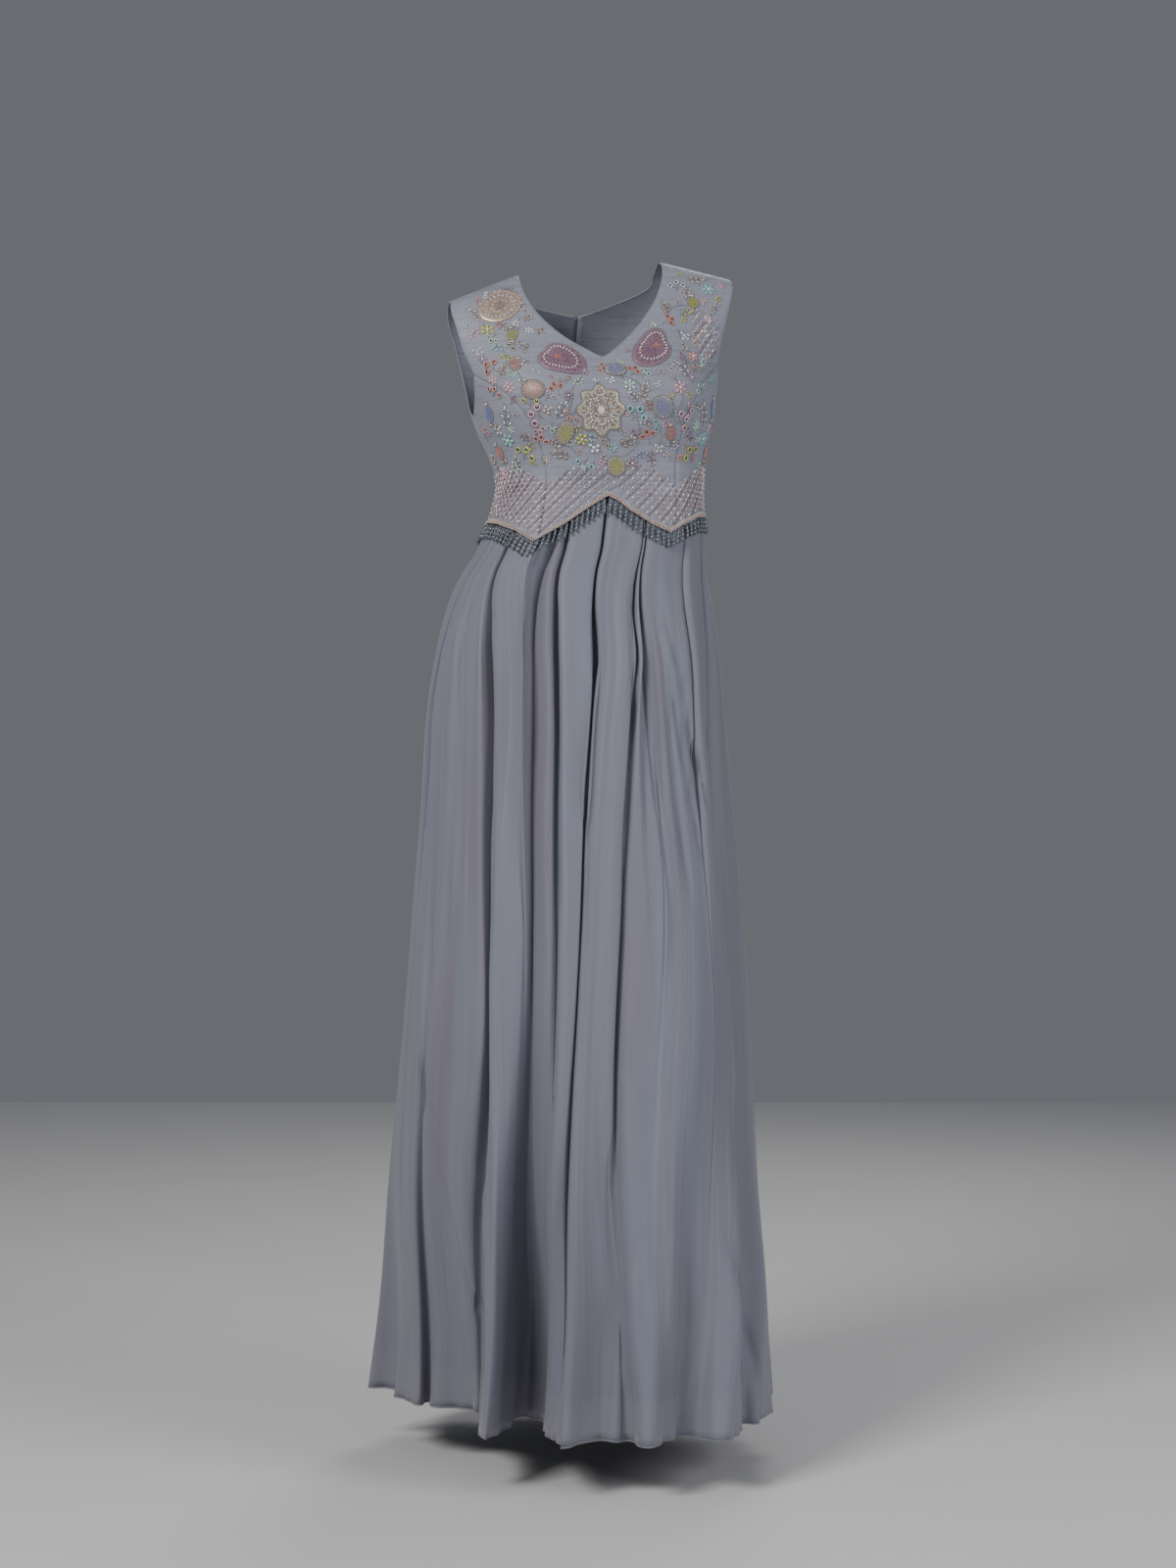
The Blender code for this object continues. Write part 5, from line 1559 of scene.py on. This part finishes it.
class Pen:
    """Draws with beads on the map of one place. Its size is a sprig's unit of length."""

    def __init__(self, work, at, size=1.0):
        self.work, self.at, self.size = work, at, size

    def dots(self, u, v, half, name, shape="seed", spin=0.0, rise=BEAD_RISE):
        """Beads of one colour at places on the map, but none on a padded motif."""
        u, v = np.atleast_1d(np.asarray(u, float)), np.atleast_1d(np.asarray(v, float))
        place, axes = self.at(u, v)
        axes = spun(axes, np.broadcast_to(spin, u.shape))
        keep = off_motifs(place)
        self.work.sew_on(shape, (place + axes[:, 2] * rise)[keep], axes[keep], half, name)

    def strand(self, path, half=CORD_BEAD):
        """Beads laid end to end along a path on the map."""
        path = np.array(path, float)
        fine = np.linspace(0, len(path) - 1, 24 * len(path))
        u, v = (curve(np.arange(len(path)), path[:, part], fine) for part in (0, 1))
        run = flat_run(u, v)
        count = max(int(run[-1] / (2.05 * half[0])), 1)
        spots = (np.arange(count) + 0.5) * run[-1] / count
        u, v = np.interp(spots, run, u), np.interp(spots, run, v)
        spin = np.degrees(np.arctan2(np.gradient(v), np.gradient(u))) if count > 1 else 0.0
        self.dots(u, v, half, "taupe", spin=spin)

    def stem(self, *path):
        """A strand along places in the sprig's units."""
        self.strand(np.array(path) * self.size)

    def oval(self, u, v, wide, tall, name):
        """A filled oval of seed beads with a cord round it."""
        rows = max(int(min(wide, tall) / 0.0016), 1)
        for row in range(rows):
            scale = (row + 0.3) / rows
            count = max(int(2 * math.pi * (wide + tall) / 2 * scale / 0.0017), 1)
            turn = 2 * math.pi * (np.arange(count) + 0.5 * (row % 2)) / count
            self.dots(u + wide * scale * np.cos(turn), v + tall * scale * np.sin(turn), SEED_HALF,
                      name, rise=0.0012 - 0.0006 * scale)
        turn = np.linspace(0, 2 * math.pi, 13)
        self.strand(np.stack([u + wide * np.cos(turn), v + tall * np.sin(turn)], axis=-1))

    def mirror(self, u, v, name, half):
        """A little dark mirror in a coloured ring."""
        self.dots(u, v, half * 0.62, "mirror", shape="disc", rise=0.0008)
        self.dots(u, v, half, name, shape="ring", rise=0.0008)

    def leaf(self, u, v, spin, long, name):
        """A pointed leaf: a long bead in the middle with a cord on both sides."""
        sides = [(0, 0), (0.35 * long, 0.24 * long), (0.7 * long, 0.16 * long), (long, 0)]
        du, dv = swung(long * 0.5, 0, spin)
        self.dots(u + du, v + dv, (long * 0.40, long * 0.17, 0.0009), name, spin=spin)
        for side in (1, -1):
            path = [np.add((u, v), swung(a, b * side, spin)) for a, b in sides]
            self.strand(path, VEIN_BEAD)


def berries(pen, name, size):
    pen.stem((0, -7.5), (1, -3), (0, 0.5))
    pen.stem((1, -3), (5, -1))
    pen.stem((0.6, -4), (-4, -2.5))
    for u, v in ((0, 3.2), (6.8, 0.2), (-5.8, -1.2)):
        pen.mirror(u * size, v * size, name, 2.8 * size)


def coral_buds(pen, name, size):
    pen.stem((0, -7), (0.6, -2))
    for spin in (25, 90, 155):
        u, v = swung(4.4 * size, 0, spin)
        v = v - 1.6 * size
        pen.dots(u, v, (3.0 * size, 2.0 * size, 0.9 * size), name, shape="ring", spin=spin)
        pen.dots(u, v, (1.4 * size, 0.8 * size, 0.5 * size), "smoke", spin=spin)


def spray(pen, name, size):
    pen.stem((0, -9), (1.2, -3), (0.4, 3))
    for u, v, spin, long in ((0.6, 2.6, 88, 6.5), (0.9, -1.5, 40, 6.0), (0.9, -1.8, 140, 6.0),
                             (0.5, -5.4, 32, 5.2), (0.5, -5.8, 150, 5.2)):
        pen.leaf(u * size, v * size, spin, long * size, name)
    pen.dots([2.6 * size, -1.8 * size], [4.6 * size, 4.2 * size], 0.0011, "silver", shape="disc",
             rise=0.0009)


def daisy(pen, name, size):
    for petal in range(6):
        spin = 60 * petal + 15
        u, v = swung(3.4 * size, 0, spin)
        pen.dots(u, v, (2.5 * size, 1.35 * size, 0.9 * size), name, spin=spin)
    pen.dots(0, 0, 1.35 * size, "pearl", rise=0.0010)


def seed_bud(pen, name, size):
    pen.stem((0, -11), (-0.8, -7), (0, -4.5))
    pen.oval(0, 0.4 * size, 4.2 * size, 5.0 * size, name)
    for u, v, spin, long, shade in ((0, 5.0, 62, 4.2, "rose_gold"), (0, 5.0, 90, 4.2, "rose_gold"),
                                    (0, 5.0, 118, 4.2, "rose_gold"), (-0.6, -8, 165, 5.0, "beige"),
                                    (-0.4, -7, 15, 5.0, "beige")):
        pen.leaf(u * size, v * size, spin, long * size, shade)


def twig(pen, name, size):
    for u, v, spin in ((-4, 0, 20), (-1.6, 1.6, 60), (-1.6, -1.4, -40), (1.4, 1.8, 70),
                       (1.4, -1.6, -60), (4, 0.2, 5)):
        pen.dots(u * size, v * size, (1.6 * size, 0.85 * size, 0.8 * size), name, spin=spin)
    pen.stem((-5.4, 0), (5.4, 0))


def sequins(pen, name, size):
    spots = [(0, 0), (3.1, 1.2), (-2.6, 1.9), (-1.2, -2.9), (2.5, -2.5)]
    u, v = np.array(spots).T * size
    pen.dots(u, v, 1.45 * size, name, shape="disc", rise=0.0008)
    pen.dots(u, v, 0.5 * size, "rose_gold", rise=0.0012)


KINDS = {"berries": berries, "coral": coral_buds, "spray": spray, "daisy": daisy, "bud": seed_bud,
         "twig": twig, "sequins": sequins}
MM = 0.001
SPRIG_GROW = 1.55
print("kinds of sprig", sorted(KINDS))

# %% [markdown]
# ## Laying out the embroidery
# Each row puts one sprig: its kind, where it is, how far it is turned, its size and its colour.
# In front and behind the place is metres across; at the sides it is degrees round the body.

# %% Embroidery tables
Sprig = namedtuple("Sprig", "kind across z turn size colour")
FRONT_SPRIGS = rows_of(Sprig, [
    ("spray", -0.152, -0.034, 20, 0.80, "silver"),
    ("twig", -0.150, -0.062, 35, 1.2, "pink"),
    ("daisy", -0.134, -0.060, 0, 1.1, "chartreuse"),
    ("sequins", -0.147, -0.086, 10, 1.1, "silver"),
    ("bud", -0.104, -0.070, 160, 1.0, "chartreuse"),
    ("twig", -0.122, -0.086, -8, 1.3, "aqua"),
    ("spray", -0.092, -0.030, -160, 0.9, "beige"),
    ("berries", -0.134, -0.110, 30, 0.95, "coral"),
    ("bud", -0.106, -0.112, -35, 1.15, "salmon"),
    ("spray", -0.092, -0.090, 20, 0.9, "champagne"),
    ("sequins", -0.082, -0.120, 40, 0.9, "silver"),
    ("daisy", -0.116, -0.140, 20, 0.95, "pink"),
    ("coral", -0.064, -0.146, 15, 1.0, "coral"),
    ("twig", -0.036, -0.140, 25, 1.0, "mint"),
    ("spray", -0.060, -0.172, -35, 1.05, "silver"),
    ("berries", -0.090, -0.178, 65, 1.05, "pink"),
    ("daisy", -0.050, -0.156, 0, 0.8, "mauve"),
    ("coral", -0.084, -0.208, -20, 1.05, "salmon"),
    ("daisy", -0.036, -0.208, 30, 1.0, "chartreuse"),
    ("spray", -0.062, -0.226, 80, 0.95, "champagne"),
    ("sequins", -0.022, -0.218, 0, 1.0, "silver"),
    ("berries", -0.034, -0.238, 150, 0.85, "aqua"),
    ("twig", -0.012, -0.232, 70, 1.0, "pink"),
    ("sequins", 0.004, -0.138, 15, 0.8, "silver"),
    ("coral", 0.034, -0.128, -30, 0.85, "coral"),
    ("daisy", 0.026, -0.146, 10, 0.95, "mint"),
    ("spray", 0.042, -0.152, -25, 0.95, "beige"),
    ("berries", 0.032, -0.178, -40, 1.05, "aqua"),
    ("daisy", 0.088, -0.150, 25, 1.05, "pink"),
    ("spray", 0.096, -0.128, 45, 1.1, "silver"),
    ("coral", 0.044, -0.204, 20, 1.05, "coral"),
    ("bud", 0.074, -0.202, 15, 1.1, "salmon"),
    ("spray", 0.020, -0.210, -60, 0.95, "champagne"),
    ("sequins", 0.058, -0.218, 0, 0.9, "silver"),
    ("twig", 0.036, -0.226, 10, 1.1, "periwinkle"),
    ("daisy", 0.024, -0.236, 10, 0.9, "mauve"),
    ("berries", 0.090, -0.186, -70, 0.95, "pink"),
    ("spray", 0.086, -0.050, 30, 0.85, "champagne"),
    ("coral", 0.090, -0.066, -60, 0.95, "coral"),
    ("bud", 0.124, -0.046, 20, 1.1, "chartreuse"),
    ("berries", 0.104, -0.022, 10, 0.85, "silver"),
    ("daisy", 0.146, -0.030, 0, 1.0, "aqua"),
    ("spray", 0.132, -0.016, -70, 0.95, "beige"),
    ("twig", 0.158, -0.042, 80, 0.9, "chartreuse"),
    ("sequins", 0.108, -0.086, 0, 1.1, "silver"),
    ("daisy", 0.114, -0.112, 15, 0.9, "salmon"),
    ("twig", 0.128, -0.118, 60, 1.1, "mint"),
])
SIDE_SPRIGS = rows_of(Sprig, [
    ("spray", 52, -0.176, 10, 1.2, "silver"),
    ("bud", 66, -0.170, 0, 1.25, "periwinkle"),
    ("coral", 78, -0.190, 20, 1.1, "pink"),
    ("daisy", 57, -0.204, 0, 1.1, "aqua"),
    ("bud", 70, -0.218, -15, 1.1, "salmon"),
    ("berries", 46, -0.222, 30, 1.0, "chartreuse"),
    ("spray", 82, -0.226, -20, 1.0, "beige"),
    ("twig", 58, -0.238, 80, 1.1, "mint"),
    ("sequins", 62, -0.190, 0, 1.0, "silver"),
    ("daisy", 72, -0.244, 0, 0.9, "pink"),
])
BACK_SPRIGS = rows_of(Sprig, [
    ("spray", 0.112, -0.186, 15, 1.0, "champagne"),
    ("daisy", 0.120, -0.158, 0, 1.0, "pink"),
    ("berries", 0.088, -0.198, -20, 1.0, "aqua"),
    ("bud", 0.062, -0.166, 10, 1.1, "salmon"),
    ("coral", 0.034, -0.200, 0, 1.0, "coral"),
    ("spray", 0.092, -0.124, 30, 1.1, "silver"),
    ("daisy", 0.052, -0.108, 0, 1.0, "chartreuse"),
    ("bud", 0.116, -0.096, -25, 1.0, "periwinkle"),
    ("sequins", 0.062, -0.222, 0, 1.0, "silver"),
    ("coral", 0.104, -0.060, 10, 0.9, "pink"),
    ("spray", 0.128, -0.036, -20, 0.8, "champagne"),
    ("berries", 0.028, -0.142, 20, 0.9, "blush"),
    ("twig", 0.044, -0.070, 50, 1.0, "mint"),
])
VINES = [
    [(-0.140, -0.048), (-0.138, -0.072), (-0.128, -0.096), (-0.112, -0.106)],
    [(-0.094, -0.048), (-0.100, -0.062), (-0.110, -0.078)],
    [(-0.104, -0.124), (-0.098, -0.152), (-0.088, -0.168), (-0.076, -0.190)],
    [(-0.030, -0.134), (-0.044, -0.146), (-0.052, -0.170), (-0.060, -0.186)],
    [(-0.060, -0.212), (-0.048, -0.220), (-0.040, -0.228)],
    [(0.018, -0.134), (0.028, -0.138), (0.038, -0.144), (0.050, -0.160)],
    [(0.032, -0.190), (0.036, -0.204), (0.030, -0.220), (0.018, -0.230)],
    [(0.052, -0.182), (0.060, -0.194), (0.066, -0.208), (0.062, -0.226)],
    [(0.082, -0.138), (0.094, -0.160), (0.092, -0.176), (0.084, -0.198)],
    [(0.090, -0.052), (0.102, -0.044), (0.116, -0.040), (0.134, -0.036)],
    [(0.100, -0.078), (0.106, -0.098), (0.110, -0.110)],
    [(-0.020, -0.212), (-0.014, -0.222), (-0.010, -0.232)],
]


def place_sprig(work, sprig, deg, level, flip):
    """Draws one sprig, mirrored for the other side if flip is -1."""
    base = patch(float(deg), float(level))
    turn = sprig.turn

    def at(u, v):
        u, v = swung(u, v, turn)
        place, axes = base(u * flip, v)
        tilted = spun(axes, np.full(len(np.atleast_1d(u)), turn * flip))
        return place, (tilted if flip > 0 else tilted * np.array([-1, 1, 1])[:, None])

    size = sprig.size * SPRIG_GROW * MM
    KINDS[sprig.kind](Pen(work, at, size), sprig.colour, size)


def round_level(deg, z):
    """The section row at degrees round the bodice and a height before the roll."""
    level = level_at(z)
    for _ in range(LEVEL_PASSES):
        level = silk_level(flat_place(section_at(level), deg)[0], z)
    return level


FILLER_KINDS = ("daisy", "twig", "sequins", "coral", "spray", "berries")
FILLER_COLOURS = ("silver", "blush", "pink", "champagne", "aqua", "chartreuse", "silver",
                  "salmon", "orchid", "blush", "mint", "pearl")
FILLER_APART = {False: 0.0132, True: 0.0190}
FILLER_TRIES = 5000
LEVEL_PASSES = 4
SEAM_CLEAR = 0.007
NECK_CLEAR = 0.008
POINT_CLEAR = 0.012
SCATTER_WIDE = 0.17
SCATTER_TALL = (-0.236, -0.008)
OUTER_EDGE = [(-0.250, 0.112), (-0.170, 0.118), (-0.150, 0.132), (-0.117, 0.141),
              (-0.081, 0.151), (-0.047, 0.160), (-0.015, 0.166)]


def on_side(across, z, back):
    """Whether a place is on the silk of one side, clear of its edges and of the trellis."""
    side = abs(across)
    point, power, inner = ((BACK_NECK_Z, BACK_NECK_CURVE, SEAM_CLEAR) if back
                           else (V_POINT_Z, V_NECK_CURVE, 0.0))
    point -= POINT_CLEAR
    if z > point:
        inner = (NECK_HALF + NECK_CLEAR) * math.sin(math.pi / 2 * min(1 - z / point, 1.0) ** power)
    slope = RIGHT_SHOULDER_SLOPE if across < 0 else SHOULDER_SLOPE
    top = -slope * max(side - NECK_HALF, 0.0)
    return inner < side < np.interp(z, *np.transpose(OUTER_EDGE)) and z < top


def scatter(rows, back, seed):
    """More small sprigs, wherever one side of the silk is still bare."""
    chance = np.random.default_rng(seed)
    used = [np.array((sprig.across, sprig.z)) for sprig in rows]
    extra = []
    for _ in range(FILLER_TRIES):
        spot = np.array((chance.uniform(-SCATTER_WIDE, SCATTER_WIDE),
                         chance.uniform(*SCATTER_TALL)))
        kind, colour = chance.integers(len(FILLER_KINDS)), chance.integers(len(FILLER_COLOURS))
        turn, size = chance.uniform(0, 360), chance.uniform(0.62, 0.85)
        nearest = min(np.linalg.norm(spot - other) for other in used)
        if not on_side(*spot, back) or nearest < FILLER_APART[back]:
            continue
        if back or off_motifs(on_silk(*spot)[0][None]).all():
            used.append(spot)
            extra.append(Sprig(FILLER_KINDS[kind], *spot, turn, size, FILLER_COLOURS[colour]))
    return extra


front_work, back_work = Sewing(), Sewing()
mirrored = [sprig._replace(across=-sprig.across) for sprig in BACK_SPRIGS]
for work, rows, back, seed in ((front_work, FRONT_SPRIGS, False, 91),
                               (back_work, BACK_SPRIGS + mirrored, True, 92)):
    fillers = scatter(rows, back, seed)
    print("scattered sprigs", len(fillers))
    for sprig in rows + fillers:
        place_sprig(work, sprig, *on_bodice(sprig.across, sprig.z, back), 1)
for vine in VINES:
    deg, level = on_bodice(*vine[0])
    path = np.array(vine)
    Pen(front_work, patch(float(deg), float(level))).strand(path - path[0])
sides_work = Sewing()
for flip in (1, -1):
    for sprig in SIDE_SPRIGS:
        deg = sprig.across * flip
        place_sprig(sides_work, sprig, deg, round_level(deg, sprig.z), flip)
for work, name in ((front_work, "front"), (sides_work, "sides"), (back_work, "back")):
    work.finish("embroidery_" + name, "bead_work")

# %% [markdown]
# ## Trellis
# Above the pointed hem is a diagonal trellis: close rows of rose and mauve beads one way, finer
# ones the other way, and a bright bead with a few seeds in each cell. Its upper edge is
# scalloped. A patch of the same trellis fills the outer edge of the left shoulder.

# %% Trellis of beads
CELL = 0.0082
LINE_GAP = 0.0021
LINE_BEADS = {1: (0.00115, 0.00100, 0.00090), -1: (0.00105, 0.00055, 0.00050)}
CELL_BEAD = (0.0021, 0.00105, 0.0011)
WAIST_PER_DEG = 0.0023
TRELLIS_LOW = 0.0080
TRELLIS_TOP = -0.264
TRELLIS_BAND = (-0.335, -0.228)
CELL_SEED = 0.00085
CELL_SEED_AWAY = 0.0023
SCALLOP_TALL = 0.030
SCALLOP_DEG = 35.0
SHOULDER_PATCH = (0.137, -0.086, 0.020, 0.030)


def trellis_top(deg):
    """Height of the trellis's scalloped upper edge."""
    return TRELLIS_TOP + SCALLOP_TALL * np.abs(np.cos(np.pi * deg / (2 * SCALLOP_DEG))) ** 0.8


def round_waist(spots):
    """Points and axes of places round the waist, and which are inside the trellis."""
    deg, z = spots[:, 0] / WAIST_PER_DEG, spots[:, 1]
    place, axes = bodice_frame(deg, round_level(deg, z))
    return place, axes, (z > hem_z(deg) + TRELLIS_LOW) & (z < trellis_top(deg)) & off_motifs(place)


def on_shoulder(spots):
    """The same for places across and up on the left shoulder's patch."""
    place, axes = on_silk(spots[:, 0], spots[:, 1])
    x, z, half_wide, half_tall = SHOULDER_PATCH
    inside = np.hypot((spots[:, 0] - x) / half_wide, (spots[:, 1] - z) / half_tall) < 1
    return place, axes, inside & off_motifs(place)


def add_trellis(work, low, high, lay, seed):
    """Trellis over one flat stretch, laid on the silk by a function."""
    chance = np.random.default_rng(seed)
    low, high = np.array(low), np.array(high)
    tall = high[1] - low[1]
    pitch = CELL * math.sqrt(2)
    run = np.arange(0, tall, LINE_GAP / math.sqrt(2))
    count = int((high[0] - low[0] + tall) / pitch) + 1
    for slant, size in LINE_BEADS.items():
        for number in range(count):
            first = low[0] + number * pitch - (tall if slant > 0 else 0)
            spots = np.stack([first + slant * run, low[1] + run], axis=-1)
            spots = spots[(spots[:, 0] > low[0]) & (spots[:, 0] < high[0])]
            if not len(spots):
                continue
            place, axes, inside = lay(spots)
            axes = spun(axes, np.full(len(spots), 45.0 * slant))[inside]
            name = ("rose", "plum")[number % 2] if slant > 0 else "silver"
            work.sew_on("seed", place[inside] + axes[:, 2] * 0.0005, axes, size, name)
    half = pitch / 2
    column, row = (part.ravel() for part in np.meshgrid(np.arange(int((high[0] - low[0]) / half)),
                                                        np.arange(int(tall / half))))
    odd = (column + row) % 2 == 1
    shift = tall % pitch
    spots = low + np.stack([column[odd] * half - shift, row[odd] * half], axis=-1)
    spots = spots[spots[:, 0] > low[0]]
    place, axes, inside = lay(spots)
    place, axes = place[inside], axes[inside]
    kinds = chance.integers(0, 6, len(place))
    names = [("blush", "pearl", "silver", "pearl", "silver", "rose_gold")[kind] for kind in kinds]
    work.sew_on("bead", place + axes[:, 2] * 0.0010,
                spun(axes, -45.0 + chance.uniform(-12, 12, len(place))), CELL_BEAD, names)
    for turn in (45, 225):
        angle = np.radians(turn + chance.uniform(-20, 20, len(place)))
        step = np.stack([np.cos(angle), np.sin(angle)], axis=-1) * CELL_SEED_AWAY
        extra = place + np.einsum("nk,nkj->nj", step, axes[:, :2])
        work.sew_on("seed", extra + axes[:, 2] * 0.0007, axes, CELL_SEED, "silver")


for name, start, end, seed in (("trellis_front", -89.5, 89.5, 71),
                               ("trellis_back", 90.5, 269.5, 72)):
    work = Sewing()
    corners = [(deg * WAIST_PER_DEG, z) for deg, z in zip((start, end), TRELLIS_BAND)]
    add_trellis(work, *corners, round_waist, seed)
    if name == "trellis_front":
        x, z, half_wide, half_tall = SHOULDER_PATCH
        add_trellis(work, (x - half_wide, z - half_tall), (x + half_wide, z + half_tall),
                    on_shoulder, 73)
    work.finish(name, "bead_work")

# %% [markdown]
# ## Floor, sheets and sizes
# The floor is plain and pale. The area of each piece of cloth is printed, the skirt's beside the
# size it was cut to.

# %% Floor, cloth sheets and the end
FLOOR_HALF = 4
floor_mesh = bpy.data.meshes.new("floor")
floor_mesh.from_pydata([(x * FLOOR_HALF, y * FLOOR_HALF, FLOOR_Z)
                        for x, y in ((-1, -1), (1, -1), (1, 1), (-1, 1))], [], [(0, 1, 2, 3)])
floor = in_scene(bpy.data.objects.new("floor", floor_mesh))
floor_look, wire, shader = material("floor_look", Roughness=0.85)
speckle = wire.node("TexCoord", output=3).scaled(3, 3, 3).noise(2.0, 0.5)
connect(wire, shader, Base_Color=speckle.mix((0.66, 0.655, 0.65), (0.70, 0.695, 0.69)))
floor_mesh.materials.append(floor_look)


def outer_area(grid):
    """Area of a grid of points."""
    first = np.cross(grid[1:, :-1] - grid[:-1, :-1], grid[1:, 1:] - grid[:-1, :-1])
    second = np.cross(grid[1:, 1:] - grid[:-1, :-1], grid[:-1, 1:] - grid[:-1, :-1])
    return float((np.linalg.norm(first, axis=-1) + np.linalg.norm(second, axis=-1)).sum() / 2)


Cut = namedtuple("Cut", "node width length area")
SKIRT_CUTS = [Cut("skirt_front", 1.36, 1.11, 1.00), Cut("skirt_back", 1.46, 1.11, 1.16)]
SILK_CUTS = [Cut("bodice_front", 0.37, 0.34, 0.076),
             Cut("bodice_side_front_left", 0.12, 0.20, 0.018),
             Cut("bodice_side_front_right", 0.12, 0.20, 0.018),
             Cut("bodice_back_left", 0.23, 0.32, 0.057),
             Cut("bodice_back_right", 0.23, 0.32, 0.057)]
for cut in SKIRT_CUTS:
    piece, roll, grid = skirt_pieces[cut.node]
    print(cut.node, "cloth", round(outer_area(grid), 3), "m2, cut", cut.area, "m2")
    holders = [silk for node, silk in silk_pieces.items()
               if node == "bodice_front" or ("back" in node) == ("back" in cut.node)]
for cut in SILK_CUTS:
    holders = [silk for node, silk in silk_pieces.items() if node != cut.node]
for name, sides in (("front", front_sides), ("side fronts", side_sides), ("backs", back_sides)):
    areas = [round(outer_area(bodice_frame(*np.moveaxis(side, -1, 0))[0]), 4) for side in sides]
    print(name, "cloth", areas, "m2")
